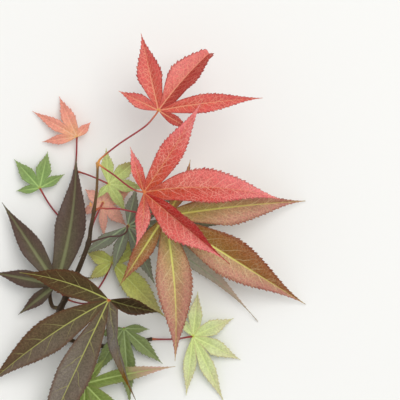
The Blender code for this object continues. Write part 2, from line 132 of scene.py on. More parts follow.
STALK_BUMP, BARK_BUMP = 0.06, 0.12

# Settings that many nodes share.
PRODUCT = {"operation": "MULTIPLY"}
PRODUCT_PLUS = {"operation": "MULTIPLY_ADD"}
SOFTLY = {"interpolation_type": "SMOOTHSTEP"}
COLOURS = {"output": 2, "data_type": "RGBA"}
SHADED = {**COLOURS, "blend_type": "MULTIPLY"}


class Side(Enum):
    """The two halves of a lobe, as seen when looking along it from the stalk."""

    LEFT = 1.0
    RIGHT = -1.0


class Attitude(Enum):
    """Which face of a leaf is seen from above."""

    FACE_UP = 0.0
    FACE_DOWN = 1.0


@dataclass(frozen=True)
class Lobe:
    """One finger of a leaf.

    Attributes:
        tip: Its end in the plan and its height; a curled lobe's is where it would end if flat.
        half: Half of its greatest width, along the blade.
        bow: How far the middle of the midrib stands off to the left of the straight line.
        fold: Degrees that each half rises from the midrib.
        roll: Degrees that it turns about the midrib, which lifts the left half.
        curl: Length of the end that is rolled under.
        shoulder: How suddenly it swells past the notches beside it.
        slim: How fast it narrows past its widest.
        painted_shading: Painted sheen (up to 1) and painted shade (down to -1) on its left and
            right halves.
        accents: How much of the finish's accent colour its two halves take towards the tip.
        rib: How strongly its midrib's colour shows.
    """

    tip: tuple
    half: float
    bow: float = 0.0
    fold: float = 20.0
    roll: float = 0.0
    curl: float = 0.0
    shoulder: float = 1.6
    slim: float = 1.0
    painted_shading: tuple = (0.0, 0.0)
    accents: tuple = (0.0, 0.0)
    rib: float = 1.0


def linear(hex_colour: str) -> tuple:
    """Turns an sRGB hex colour into linear RGBA.

    Args:
        hex_colour: Six hex digits.

    Returns:
        Red, green, blue and an alpha of 1.
    """
    channels = [int(hex_colour[i:i + 2], 16) / 255.0 for i in (0, 2, 4)]
    return tuple(c / 12.92 if c <= 0.04045 else ((c + 0.055) / 1.055) ** 2.4
                 for c in channels) + (1.0,)


def placed(points: np.ndarray) -> np.ndarray:
    """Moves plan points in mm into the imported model's frame, in metres."""
    return (np.asarray(points, float) - [PLAN_MIDDLE[0], PLAN_MIDDLE[1], 0.0]) * MM


def unit(vectors: np.ndarray) -> np.ndarray:
    """Scales each vector to a length of one."""
    vectors = np.asarray(vectors, float)
    return vectors / np.maximum(np.linalg.norm(vectors, axis=-1, keepdims=True), 1e-12)


def smoothstep(low: float, high: float, values: np.ndarray) -> np.ndarray:
    """Rises softly from 0 at low to 1 at high: 3x^2 - 2x^3 of the clamped share x."""
    share = np.clip((np.asarray(values, float) - low) / (high - low), 0.0, 1.0)
    return share * share * (3.0 - 2.0 * share)


def feed(node: bpy.types.Node, inputs: dict) -> None:
    """Gives a node's inputs their values or their links.

    Args:
        node: The node.
        inputs: Input name or number to a value, or to the socket that feeds it.
    """
    for name, value in inputs.items():
        if isinstance(value, bpy.types.NodeSocket):
            node.id_data.links.new(value, node.inputs[name])
        else:
            node.inputs[name].default_value = value


def add_node(tree: bpy.types.NodeTree, kind: str, inputs: Optional[dict] = None,
             output: Any = 0, stops: tuple = (), **settings: Any) -> bpy.types.NodeSocket:
    """Adds a shader node with its settings and links.

    Args:
        tree: The node tree that it joins.
        kind: The node's type name, without the ShaderNode that it starts with.
        inputs: Input name or number to a value, or to the socket that feeds it.
        output: Name or number of the output to return.
        stops: A ramp's positions and hex colours, in order.
        settings: The node's own properties.

    Returns:
        The output socket asked for.
    """
    node = tree.nodes.new("ShaderNode" + kind)
    for name, value in settings.items():
        setattr(node, name, value)
    feed(node, inputs or {})
    for index, (position, hex_colour) in enumerate(stops):
        ramp = node.color_ramp.elements
        stop = ramp[index] if index < len(ramp) else ramp.new(position)
        stop.position = position
        stop.color = linear(hex_colour)
    return node.outputs[output]


def new_surface(name: str) -> tuple:
    """Starts a material with only its Principled shader.

    Args:
        name: The material's name.

    Returns:
        The material, its shader node, and add_node for its node tree.
    """
    material = bpy.data.materials.new(name)
    material.use_nodes = True
    tree = material.node_tree
    return material, tree.nodes["Principled BSDF"], partial(add_node, tree)


def linked(name: str, data: bpy.types.ID) -> bpy.types.Object:
    """Makes an object and adds it to the scene.

    Args:
        name: The object's name.
        data: Its mesh, light or camera.

    Returns:
        The object, at the origin.
    """
    made = bpy.data.objects.new(name, data)
    bpy.context.scene.collection.objects.link(made)
    return made


@dataclass(frozen=True)
class BladeFinish:
    """A living maple blade: waxy skin over pigment, with a net of veins.

    To the eye it is satin, coloured from the foot to the tip, redder at the toothed margin,
    with lighter midribs and a fine net of lighter veins; its underside is paler and duller.
    Halves of lobes also carry painted sheen and painted shade.

    Attributes:
        name: The material's name.
        foot, middle, tip: Colours along each lobe.
        pale, dark: Colours of the painted sheen and the painted shade that the lobe's tones
            lead a half towards.
        heart: Colour beside the midribs, strongest near the foot.
        rim: Colour of the margin.
        accent: Colour that some lobes take towards their tips.
        midrib, net: Colours of the midribs and of the finer veins.
        under: Colour of the underside.
        dot: Colour of the spot where the stalk joins.
        midrib_half: Half the midrib's width at the foot, mm.
        rim_start: Share of the half's width at which the margin's colour starts.
        pairs: Secondary veins on each side of a lobe.
        shine: The shader's specular level.
        rim_strength, vein_strength, net_strength, heart_strength: How much those colours
            show.
        foot_rib, tip_rib: How much the midrib's colour shows near the foot and at the tip.
        mottling: How much lighter and darker the fine mottling is.
        net_cell: Width of the net's meshes, mm, drawn coarser than the real 0.8 mm to show.
        roughness: Mean roughness of the upper skin.
    """

    name: str
    foot: str
    middle: str
    tip: str
    painted_sheen: str
    painted_shade: str
    rim: str
    midrib: str
    net: str
    under: str
    heart: str = "8A8C44"
    accent: str = "C08A80"
    dot: str = "C8703A"
    midrib_half: float = 0.4
    rim_start: float = 0.8
    pairs: int = 11
    shine: float = 0.2
    foot_rib: float = 0.9
    tip_rib: float = 0.3
    mottling: float = 0.16
    heart_strength: float = 0.0
    rim_strength: float = 0.6
    vein_strength: float = 0.55
    net_strength: float = 0.3
    net_cell: float = 2.1
    roughness: float = 0.45

    def material(self) -> bpy.types.Material:
        """Builds the blade's material from its UV maps, in this order of layers: ramp from
        foot to tip, heart, underside, painted sheen and painted shade of the half, mottling,
        margin, accent, veins, dot.

        Returns:
            The material.
        """
        material, shader, add = new_surface(self.name)
        maps = {name: add("SeparateXYZ", {0: add("UVMap", uv_map=name)}).node.outputs
                for name in BLADE_MAPS}
        place = add("TexCoord", output="Object")
        share, edge_share = maps["Lobe"][0], maps["Lobe"][1]
        # The fourth map gives each half's level of painted sheen and painted shade, and its
        # accent.
        painted_light_level, accent = maps["Tint"][0], maps["Tint"][1]
        along = add("Math", {0: maps["Blade"][0], 1: UV_SPAN}, **PRODUCT)
        centred = add("Math", {0: maps["Blade"][1], 1: 0.5}, operation="SUBTRACT")
        signed = add("Math", {0: centred, 1: UV_SPAN}, **PRODUCT)
        across = add("Math", {0: signed}, operation="ABSOLUTE")

        cloud, mottle = (add("TexNoise", {"Vector": place, "Scale": 1.0 / (size * MM),
                                          "Detail": 2.0}) for size in (CLOUD_SIZE, MOTTLE_SIZE))
        drift = add("Math", {0: cloud, 1: 0.3, 2: -0.15}, **PRODUCT_PLUS)
        reach = add("Math", {0: share, 1: drift})
        colour = add("ValToRGB", {0: reach},
                     stops=((0.05, self.foot), (0.45, self.middle), (1.0, self.tip)))

        inner = add("MapRange", {"Value": edge_share, "From Min": 0.75, "From Max": 0.05,
                                 "To Max": self.heart_strength}, **SOFTLY)
        near = add("MapRange", {"Value": reach, "From Min": 0.95, "From Max": 0.15})
        heart = add("Math", {0: inner, 1: near}, **PRODUCT)
        under = add("Attribute", output="Fac", attribute_name="under")
        dull = add("Math", {0: under, 1: 0.75}, **PRODUCT)
        # Painted shade darkens a half all along, but painted sheen lightens a half only away
        # from the foot.
        painted_sheen_reach = add("MapRange", {"Value": share, "From Min": 0.08, "From Max": 0.42,
                                  "To Min": 0.25})
        painted_sheen, painted_shade = (add("MapRange", {"Value": painted_light_level, "From Min": 0.5, "From Max": full,
                                       "To Max": most})
                      for full, most in ((1.0, painted_sheen_reach), (0.0, 1.0)))
        for mask, hex_colour in ((heart, self.heart), (dull, self.under), (painted_sheen, self.painted_sheen),
                                 (painted_shade, self.painted_shade)):
            colour = add("Mix", {0: mask, 6: colour, 7: linear(hex_colour)}, **COLOURS)

        net, secondary, midrib, shade = self.veins(add, maps, across)
        # Veins show less on a half with painted shade.
        plain = add("MapRange", {"Value": painted_light_level, "From Min": 0.0, "From Max": 0.5,
                                 "To Min": 0.5})
        net, secondary = (add("Math", {0: mask, 1: plain}, **PRODUCT)
                          for mask in (net, secondary))
        spotted = add("MapRange", {"Value": mottle, "From Min": 0.35, "From Max": 0.75,
                                   "To Min": 1.0 - self.mottling,
                                   "To Max": 1.0 + self.mottling})
        spotted = add("Math", {0: spotted, 1: shade}, **PRODUCT)
        colour = add("Mix", {0: 1.0, 6: colour, 7: spotted}, **SHADED)

        margin = add("MapRange", {"Value": edge_share, "From Min": self.rim_start,
                                  "To Max": self.rim_strength}, **SOFTLY)
        far = add("MapRange", {"Value": reach, "From Min": 0.35, "From Max": 0.85}, **SOFTLY)
        accented = add("Math", {0: far, 1: accent}, **PRODUCT)
        from_foot = add("VectorMath", {0: add("CombineXYZ", {0: along, 1: across})},
                        output="Value", operation="LENGTH")
        dot = add("MapRange", {"Value": from_foot, "From Min": DOT_EDGE, "From Max": DOT_CORE})
        for mask, hex_colour in ((margin, self.rim), (accented, self.accent), (net, self.net),
                                 (secondary, self.net), (midrib, self.midrib),
                                 (dot, self.dot)):
            colour = add("Mix", {0: mask, 6: colour, 7: linear(hex_colour)}, **COLOURS)

        rough = add("MapRange", {"Value": cloud, "To Min": self.roughness - 0.06,
                                 "To Max": self.roughness + 0.10})
        rough = add("Math", {0: under, 1: 0.22, 2: rough}, **PRODUCT_PLUS)
        relief = 0.0
        for mask, height in ((net, -0.5), (secondary, -0.8), (mottle, 0.5)):
            relief = add("Math", {0: mask, 1: height, 2: relief}, **PRODUCT_PLUS)
        bump = add("Bump", {"Strength": 0.55, "Distance": BLADE_BUMP * MM, "Height": relief},
                   output="Normal")
        feed(shader, {"Base Color": colour, "Specular IOR Level": self.shine,
                      "Roughness": rough, "Normal": bump})
        return material

    def veins(self, add: Callable, maps: dict, across: bpy.types.NodeSocket) -> tuple:
        """Masks of the veins.

        The net is the edges of two sizes of Voronoi cells, on a plane that noise warps by up
        to 0.6 mm. It comes and goes over about 9 mm and is faint near the foot. Each cell
        has a shade of its own. A secondary vein lies wherever the vein count is a whole
        number. The midrib is within its tapering half width of the middle.

        Args:
            add: Adds a node to the material.
            maps: The separated UV maps by name.
            across: Distance from the midrib, mm.

        Returns:
            The masks of the net, the secondary veins and the midrib, and the cells' shade.
        """
        share, edge_share = maps["Lobe"][0], maps["Lobe"][1]
        plane = add("CombineXYZ", {0: maps["Blade"][0], 1: maps["Blade"][1]})
        warp = add("TexNoise", {"Vector": plane, "Scale": UV_SPAN / WARP_SIZE, "Detail": 1.0},
                   output="Color")
        centred = add("VectorMath", {0: warp, 1: (0.5, 0.5, 0.5)}, operation="SUBTRACT")
        bend = WARP_REACH / UV_SPAN
        warped = add("VectorMath", {0: centred, 1: (bend, bend, 0.0), 2: plane},
                     **PRODUCT_PLUS)
        patches = add("TexNoise", {"Vector": plane, "Scale": UV_SPAN / PATCH_SIZE,
                                   "Detail": 1.0})
        patchy = add("MapRange", {"Value": patches, "From Min": 0.35, "From Max": 0.65,
                                  "To Min": 0.35})
        faint = add("MapRange", {"Value": share, "From Min": 0.05, "From Max": 0.35,
                                 "To Min": 0.35})
        lines = []
        for part, strength, width in NET_LINES:
            cell = part * self.net_cell
            cells = add("TexVoronoi", {"Vector": warped, "Scale": UV_SPAN / cell},
                        voronoi_dimensions="2D", feature="DISTANCE_TO_EDGE")
            lines.append(add("MapRange", {"Value": cells, "From Min": width / cell,
                                          "From Max": 0.0,
                                          "To Max": strength * self.net_strength}))
        net = add("Math", {0: lines[0], 1: lines[1]}, operation="MAXIMUM")
        for weakening in (patchy, faint):
            net = add("Math", {0: net, 1: weakening}, **PRODUCT)
        smallest = NET_LINES[-1][0] * self.net_cell
        shades = add("TexVoronoi", {"Vector": warped, "Scale": UV_SPAN / smallest},
                     output="Color", voronoi_dimensions="2D")
        shade = add("MapRange", {"Value": shades, "From Min": 0.25, "From Max": 0.75,
                                 "To Min": 1.0 - CELL_SHADE, "To Max": 1.0 + CELL_SHADE})

        wander = add("TexNoise", {"Vector": plane, "Scale": UV_SPAN / WANDER_SIZE,
                                  "Detail": 2.0})
        stray = VEIN_STRAY * self.pairs
        shift = add("Math", {0: wander, 1: stray, 2: -0.5 * stray}, **PRODUCT_PLUS)
        count = add("Math", {0: shift, 1: maps["Vein"][0]})
        beside = add("Math", {0: count, 1: 0.5}, operation="PINGPONG")
        drawn = add("MapRange", {"Value": beside, "From Min": 0.006 * self.pairs,
                                 "From Max": 0.0014 * self.pairs,
                                 "To Max": self.vein_strength})
        fade = add("MapRange", {"Value": edge_share, "From Min": 0.90, "From Max": 0.25})
        secondary = add("Math", {0: drawn, 1: fade}, **PRODUCT)

        half = add("MapRange", {"Value": share, "To Min": self.midrib_half,
                                "To Max": 0.3 * self.midrib_half})
        ratio = add("Math", {0: across, 1: half}, operation="DIVIDE")
        body = add("MapRange", {"Value": ratio, "From Min": 1.35, "From Max": 0.45}, **SOFTLY)
        outer = add("MapRange", {"Value": share, "From Min": 0.25, "From Max": 0.9,
                                 "To Min": self.foot_rib, "To Max": self.tip_rib})
        strength = add("Math", {0: outer, 1: maps["Vein"][1]}, **PRODUCT)
        midrib = add("Math", {0: body, 1: strength}, **PRODUCT)
        return net, secondary, midrib, shade


@dataclass(frozen=True)
class StalkFinish:
    """The smooth, waxy skin of a leaf stalk: red, with a dull shine along its length.

    Attributes:
        name: The material's name.
        foot, middle, tip: Colours from the wood to the blade.
        slot: The record's material slot; not used.
    """

    name: str
    foot: str
    middle: str
    tip: str
    slot: str = "stalk"

    def material(self) -> bpy.types.Material:
        """Builds the stalk's material: a ramp along it, with fine streaks.

        Returns:
            The material.
        """
        material, shader, add = new_surface(self.name)
        length = add("UVMap", uv_map="Length")
        axes = add("SeparateXYZ", {0: length}).node.outputs
        stretched = add("VectorMath", {0: length, 1: STALK_STREAKS}, **PRODUCT)
        streaks = add("TexNoise", {"Vector": stretched, "Scale": 1.0, "Detail": 3.0})
        drift = add("Math", {0: streaks, 1: 0.2, 2: -0.1}, **PRODUCT_PLUS)
        reach = add("Math", {0: axes[0], 1: drift})
        colour = add("ValToRGB", {0: reach},
                     stops=((0.0, self.foot), (0.22, self.middle), (0.75, self.middle),
                            (1.0, self.tip)))
        shade = add("MapRange", {"Value": streaks, "To Min": 0.75, "To Max": 1.2})
        colour = add("Mix", {0: 1.0, 6: colour, 7: shade}, **SHADED)
        bump = add("Bump", {"Strength": 0.3, "Distance": STALK_BUMP * MM, "Height": streaks},
                   output="Normal")
        feed(shader, {"Base Color": colour, "Roughness": 0.4, "Normal": bump})
        return material


@dataclass(frozen=True)
class BarkFinish:
    """Young maple bark: thin, smooth and slightly glossy, with long fine wrinkles.

    It shows light-coloured breathing pores a third of a millimetre wide, and bare wood at a
    cut.

    Attributes:
        name: The material's name.
        top, upper, lower: Colours down the limb from its growing end.
        top_length: Length that the top colour covers, mm.
        pore: Colour of the pores.
        cut: Colour of the cut wood.
    """

    name: str
    top: str
    upper: str
    lower: str
    top_length: float
    pore: str = "9A8468"
    cut: str = "C9B48A"

    def material(self) -> bpy.types.Material:
        """Builds the bark's material from distance along the limb and the angle round it.

        Returns:
            The material.
        """
        material, shader, add = new_surface(self.name)
        length = add("UVMap", uv_map="Length")
        axes = add("SeparateXYZ", {0: length}).node.outputs
        place = add("TexCoord", output="Object")
        stretched = add("VectorMath", {0: length, 1: BARK_WRINKLES}, **PRODUCT)
        wrinkles = add("TexNoise", {"Vector": stretched, "Scale": 1.0, "Detail": 4.0,
                                    "Roughness": 0.6})
        blotches = add("TexNoise", {"Vector": place, "Scale": 1.0 / (BLOTCH_SIZE * MM),
                                    "Detail": 3.0})
        distance = add("Math", {0: axes[0], 1: UV_SPAN}, **PRODUCT)
        wobble = add("Math", {0: blotches, 1: 3.0, 2: -1.5}, **PRODUCT_PLUS)
        distance = add("Math", {0: distance, 1: wobble})
        age = add("MapRange", {"Value": distance, "From Min": AGE_START, "From Max": AGE_END})
        fresh = add("MapRange", {"Value": distance, "From Min": self.top_length,
                                 "From Max": 0.2 * self.top_length})
        colour = linear(self.upper)
        for mask, hex_colour in ((age, self.lower), (fresh, self.top)):
            colour = add("Mix", {0: mask, 6: colour, 7: linear(hex_colour)}, **COLOURS)
        shade = add("MapRange", {"Value": wrinkles, "From Min": 0.25, "From Max": 0.75,
                                 "To Min": 0.6, "To Max": 1.35})
        colour = add("Mix", {0: 1.0, 6: colour, 7: shade}, **SHADED)
        pores = add("TexVoronoi", {"Vector": place, "Scale": 1.0 / (PORE_SPACING * MM)})
        pore = add("MapRange", {"Value": pores, "From Min": 0.16, "From Max": 0.08,
                                "To Max": 0.5})
        bare = add("Attribute", output="Fac", attribute_name="cut")
        for mask, hex_colour in ((pore, self.pore), (bare, self.cut)):
            colour = add("Mix", {0: mask, 6: colour, 7: linear(hex_colour)}, **COLOURS)
        rough = add("MapRange", {"Value": wrinkles, "To Min": 0.42, "To Max": 0.66})
        relief = add("Math", {0: pore, 1: 0.6, 2: wrinkles}, **PRODUCT_PLUS)
        bump = add("Bump", {"Strength": 0.6, "Distance": BARK_BUMP * MM, "Height": relief},
                   output="Normal")
        feed(shader, {"Base Color": colour, "Specular IOR Level": BARK_SHINE,
                      "Roughness": rough, "Normal": bump})
        return material


@dataclass
class Sheet:
    """Triangles of an open or closed surface, with values for their corners and points.

    Attributes:
        points: Points in mm.
        triangles: Three point numbers to a row.
        corner_maps: UV map name to one pair for each triangle corner.
        point_values: Attribute name to one number for each point.
    """

    points: np.ndarray
    triangles: np.ndarray
    corner_maps: dict
    point_values: dict

    def build(self, name: str, material: bpy.types.Material) -> bpy.types.Object:
        """Makes the Blender object.

        Args:
            name: The object's name.
            material: Its material.

        Returns:
            The object, at the origin.
        """
        points = placed(self.points)
        points[:, 2] = np.maximum(points[:, 2], 0.0)    # a tip lies flat on the ground
        mesh = bpy.data.meshes.new(name)
        mesh.from_pydata(points.tolist(), [], self.triangles.tolist())
        for map_name, values in self.corner_maps.items():
            layer = mesh.uv_layers.new(name=map_name)
            layer.data.foreach_set("uv", np.asarray(values, np.float32).ravel())
        for value_name, values in self.point_values.items():
            attribute = mesh.attributes.new(value_name, "FLOAT", "POINT")
            attribute.data.foreach_set("value", np.asarray(values, np.float32))
        mesh.materials.append(material)
        mesh.shade_smooth()
        return linked(name, mesh)


def grid_triangles(rows: int, columns: int, flipped: bool) -> np.ndarray:
    """Two triangles for each cell of a grid whose points are numbered row by row.

    Args:
        rows: Number of rows of points.
        columns: Number of points in a row.
        flipped: Whether to turn the triangles over.

    Returns:
        An array of three point numbers to a row.
    """
    corner = (np.arange(rows - 1)[:, None] * columns + np.arange(columns - 1)).ravel()
    first = np.column_stack([corner, corner + columns, corner + columns + 1])
    second = np.column_stack([corner, corner + columns + 1, corner + 1])
    triangles = np.vstack([first, second])
    return triangles[:, ::-1] if flipped else triangles


def weld(points: np.ndarray, triangles: np.ndarray) -> tuple:
    """Makes points that coincide one point, and drops the triangles that this closes up.

    Args:
        points: Points in mm.
        triangles: Three point numbers to a row.

    Returns:
        The points left, the triangles in their numbers, the same triangles in the old numbers,
        and the old number of each point left.
    """
    keys = np.round(points / WELD_DISTANCE).astype(np.int64)
    _, first, merged = np.unique(keys, axis=0, return_index=True, return_inverse=True)
    welded = merged.ravel()[triangles]
    open_ones = ((welded[:, 0] != welded[:, 1]) & (welded[:, 1] != welded[:, 2])
                 & (welded[:, 2] != welded[:, 0]))
    return points[first], welded[open_ones], triangles[open_ones], first


def point_normals(points: np.ndarray, triangles: np.ndarray) -> np.ndarray:
    """Normals of a surface's points: the sum of the normals of the triangles that meet there.

    Args:
        points: Points in mm.
        triangles: Three point numbers to a row.

    Returns:
        One unit normal for each point.
    """
    a, b, c = (points[triangles[:, k]] for k in range(3))
    facing = np.cross(b - a, c - a)
    total = np.zeros_like(points)
    for k in range(3):
        np.add.at(total, triangles[:, k], facing)
    return unit(total)


def smooth_route(points: Any, step: float) -> np.ndarray:
    """Reads a smooth curve through the points at about equal steps.

    Each span is a cubic whose slope at a point follows the points on either side of it.

    Args:
        points: Rows whose first three numbers are a place and the rest go with it.
        step: Distance between the points read, mm.

    Returns:
        The points read, rows of the same width.
    """
    points = np.asarray(points, float)
    before = np.vstack([2.0 * points[0] - points[1], points[:-1]])
    after = np.vstack([points[1:], 2.0 * points[-1] - points[-2]])
    slope = 0.5 * (after - before)
    read = []
    for a, b, slope_a, slope_b in zip(points, points[1:], slope, slope[1:]):
        count = max(1, round(float(np.linalg.norm((b - a)[:3])) / step))
        s = np.linspace(0.0, 1.0, count, endpoint=False)[:, None]
        read.append((2 * s ** 3 - 3 * s ** 2 + 1) * a + (s ** 3 - 2 * s ** 2 + s) * slope_a
                    + (3 * s ** 2 - 2 * s ** 3) * b + (s ** 3 - s ** 2) * slope_b)
    return np.vstack(read + [points[-1:]])


class LobeSurface:
    """The geometry of one lobe, as functions of the share t of the way to its tip."""

    def __init__(self, foot: np.ndarray, lobe: Lobe) -> None:
        """Keeps the lobe and works out its length and heading.

        Args:
            foot: Where the stalk meets the leaf, mm.
            lobe: The lobe's sizes.
        """
        self.foot = foot
        self.lobe = lobe
        reach = np.array(lobe.tip[:2]) - foot[:2]
        self.length = float(np.linalg.norm(reach))
        self.ahead = reach / self.length
        self.left = np.array([-self.ahead[1], self.ahead[0]])

    def midrib(self, t: np.ndarray) -> np.ndarray:
        """Points on the midrib: a parabola in the plan, drooping, its end curled under.

        Args:
            t: Shares of the lobe's length.

        Returns:
            One point for each share, mm.
        """
        t = np.maximum(np.asarray(t, float), 0.0)
        along = t * self.length
        flat_part = self.length - self.lobe.curl
        turn = np.clip((along - flat_part) / CURL_RADIUS, 0.0, CURL_ANGLE)
        beyond = np.maximum(along - flat_part - CURL_RADIUS * CURL_ANGLE, 0.0)
        forward = np.minimum(along, flat_part) + CURL_RADIUS * np.sin(turn)
        forward = forward + beyond * math.cos(CURL_ANGLE)
        sunk = CURL_RADIUS * (1.0 - np.cos(turn)) + beyond * math.sin(CURL_ANGLE)
        sideways = 4.0 * self.lobe.bow * t * (1.0 - t)
        plan = self.foot[:2] + np.outer(forward, self.ahead) + np.outer(sideways, self.left)
        height = self.foot[2] + (self.lobe.tip[2] - self.foot[2]) * t ** DROOP_POWER - sunk
        return np.column_stack([plan, height])

    def frame(self, t: np.ndarray) -> tuple:
        """Directions across the lobe, to its left, and out of its upper face.

        Args:
            t: Shares of the lobe's length.

        Returns:
            Two arrays of unit vectors.
        """
        t = np.asarray(t, float)
        step = 1e-4
        tangent = unit(self.midrib(t + step) - self.midrib(t - step))
        heading = self.ahead + np.outer(4.0 * self.lobe.bow * (1.0 - 2.0 * t),
                                        self.left) / self.length
        across = unit(np.column_stack([-heading[:, 1], heading[:, 0], np.zeros(len(t))]))
        out = unit(np.cross(tangent, across))
        roll = math.radians(self.lobe.roll) * np.clip(t / ROLL_REACH, 0.0, 1.0)[:, None]
        return (np.cos(roll) * across + np.sin(roll) * out,
                np.cos(roll) * out - np.sin(roll) * across)

    def rim(self, t: np.ndarray, half_width: np.ndarray, side: Side) -> np.ndarray:
        """Points on an edge, each half width away from the midrib, up the folded half.

        Args:
            t: Shares of the lobe's length.
            half_width: Distances from the midrib, mm.
            side: Which edge.

        Returns:
            One point for each share, mm.
        """
        across, out = self.frame(t)
        fold = math.radians(self.lobe.fold)
        direction = side.value * math.cos(fold) * across + math.sin(fold) * out
        return self.midrib(t) + np.asarray(half_width)[:, None] * direction

    def half_width(self, t: np.ndarray, start: float, at_start: float) -> np.ndarray:
        """Half width: it swells from the notch to its widest and then tapers to the tip.

        Args:
            t: Shares of the lobe's length.
            start: The share at which the notch lies.
            at_start: The half width there, mm.

        Returns:
            One half width for each share, mm.
        """
        t = np.asarray(t, float)
        swell = np.clip((t - start) / (WIDEST_AT - start), 0.0, 1.0)
        taper = np.clip((t - WIDEST_AT) / (1.0 - WIDEST_AT), 0.0, 1.0)
        rising = at_start + (self.lobe.half - at_start) * (
            1.0 - (1.0 - swell) ** self.lobe.shoulder)
        soft = np.cos(0.5 * math.pi * taper) ** 2
        falling = (1.0 - TIP_TAPER) * soft + TIP_TAPER * (1.0 - taper)
        return np.where(t < WIDEST_AT, rising, self.lobe.half * falling ** self.lobe.slim)


@dataclass(frozen=True)
class Notch:
    """Where a lobe's edge leaves the notch that it shares with its neighbour.

    Attributes:
        point: The notch, mm.
        start: The share of the lobe's length at which it lies.
        width: The lobe's half width there, mm.
    """

    point: np.ndarray
    start: float
    width: float


@dataclass
class PalmateLeaf:
    """A leaf: folded lobes, clockwise as seen from above, joined at the stalk.

    Attributes:
        name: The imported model's node that it stands for.
        foot: Where the stalk meets it, mm.
        lobes: Its lobes.
        finish: Its finish.
        attitude: Which of its faces is seen from above.
        teeth: Depth of its teeth as a share of a lobe's half width.
        seed: Sets how its margins wave.
    """

    name: str
    foot: tuple
    lobes: tuple
    finish: BladeFinish
    attitude: Attitude = Attitude.FACE_UP
    teeth: float = 0.12
    seed: int = 0

    def notches(self, surfaces: list) -> list:
        """Works out the notch that each two neighbouring lobes share.

        It lies on the line halfway between their headings, further out for longer lobes, and
        as high as the mean of the two folded halves there.

        Args:
            surfaces: The lobes' surfaces in order.

        Returns:
            For each lobe a dict from Side to its Notch, without those it doesn't have.
        """
        found = [{} for _ in surfaces]
        for k, (first, second) in enumerate(zip(surfaces, surfaces[1:])):
            reach = SINUS_FOOT + SINUS_SHARE * min(first.length, second.length)
            halfway = unit(first.ahead + second.ahead)
            cosine = float(halfway @ first.ahead)
            reach *= cosine
            parts = []
            for surface, side in ((first, Side.RIGHT), (second, Side.LEFT)):
                start = reach * cosine / surface.length
                width = (reach * math.sqrt(1.0 - cosine ** 2)
                         / math.cos(math.radians(surface.lobe.fold)))
                height = surface.rim(np.array([start]), np.array([width]), side)[0][2]
                parts.append((height, start, width))
            plan = first.foot[:2] + reach * halfway
            point = np.array([plan[0], plan[1], 0.5 * (parts[0][0] + parts[1][0])])
            found[k][Side.RIGHT] = Notch(point, *parts[0][1:])
            found[k + 1][Side.LEFT] = Notch(point, *parts[1][1:])
        return found

    def edges(self, surface: LobeSurface, side: Side, notch: Optional[Notch],
              middle_start: float) -> tuple:
        """One edge of a lobe from the foot to the tip, smooth, and the shift of its teeth.

        A tooth rises over four rows and leans forward, and then drops back at once; every
        second one is smaller.

        Args:
            surface: The lobe's surface.
            side: Which edge.
            notch: The notch that it leaves, if it has one.
            middle_start: The share at which the rows past the notch start on the midrib.

        Returns:
            The smooth edge's points and the teeth's shifts, mm.
        """
        base = np.linspace(0.0, 1.0, BASE_ROWS, endpoint=False)
        count = max(FEWEST_TEETH, round(surface.length * (1.0 - middle_start)
                                        / TOOTH_SPACING))
        share = np.linspace(0.0, 1.0, count * TOOTH_ROWS + 1)
        if notch:
            lead_in = surface.foot + base[:, None] * (notch.point - surface.foot)
            t = notch.start + (1.0 - notch.start) * share
            half = surface.half_width(t, notch.start, notch.width)
        else:
            t = middle_start * base
            lead_in = surface.rim(t, surface.half_width(t, 0.0, 0.0), side)
            t = middle_start + (1.0 - middle_start) * share
            half = surface.half_width(t, 0.0, 0.0)
        row = np.arange(len(share))
        step = row % TOOTH_ROWS
        size = np.where(row // TOOTH_ROWS % 2 == 0, 1.0, SMALL_TOOTH)
        size = size * smoothstep(TOOTH_START, TOOTH_FULL, share)
        size *= np.clip((1.0 - share) / TOOTH_END, 0.0, 1.0)
        depth = self.teeth * surface.lobe.half + TOOTH_LEAST
        depth = depth * (0.35 + 0.65 * half / surface.lobe.half)
        outward = (np.array(TOOTH_OUT)[step] - TOOTH_INSET) * depth * size
        forward = np.array(TOOTH_FORWARD)[step] * size * (share[1] - share[0])
        smooth = surface.rim(t, half, side)
        toothed = surface.rim(np.minimum(t + forward, 1.0), half + outward, side)
        shift = toothed - smooth
        if notch:
            fade = np.clip(1.0 - (t - notch.start) / SINUS_REACH, 0.0, 1.0)[:, None] ** 2
            smooth = smooth + fade * (notch.point - smooth[0])
        return np.vstack([lead_in, smooth]), np.vstack([np.zeros_like(lead_in), shift])

    def half_lobe(self, surface: LobeSurface, side: Side, notches: dict,
                  phase: float) -> dict:
        """The grid of one half of a lobe, with relief and the values for its finish.

        A point is the midrib's, moved the share s of the way to the edge. It is lifted by
        the half's arch, which is a sine of s, by the margin's wave, which grows as s
        squared, by the ridge of the midrib, a bell of the distance from it, and by the
        grooves of the secondary veins, bells of the distance from the nearest.

        Args:
            surface: The lobe's surface.
            side: Which half.
            notches: The lobe's notches by side.
            phase: Where the margin's wave starts.

        Returns:
            The grid's points, its underside's extra thickness and its four UV maps.
        """
        middle_start = sum(n.start for n in notches.values()) / len(notches)
        edge, shift = self.edges(surface, side, notches.get(side), middle_start)
        past = len(edge) - BASE_ROWS
        share = np.concatenate([
            middle_start * np.linspace(0.0, 1.0, BASE_ROWS, endpoint=False),
            middle_start + (1.0 - middle_start) * np.linspace(0.0, 1.0, past)])
        beyond_notch = np.concatenate([np.zeros(BASE_ROWS), np.linspace(0.0, 1.0, past)])
        middle = surface.midrib(share)
        s = COLUMNS[None, :]
        points = (middle[:, None, :] + s[:, :, None] * (edge - middle)[:, None, :])
        tooth_weight = np.clip((s - TOOTH_COLUMNS) / (1.0 - TOOTH_COLUMNS), 0.0, 1.0)
        points = points + tooth_weight[:, :, None] * shift[:, None, :]

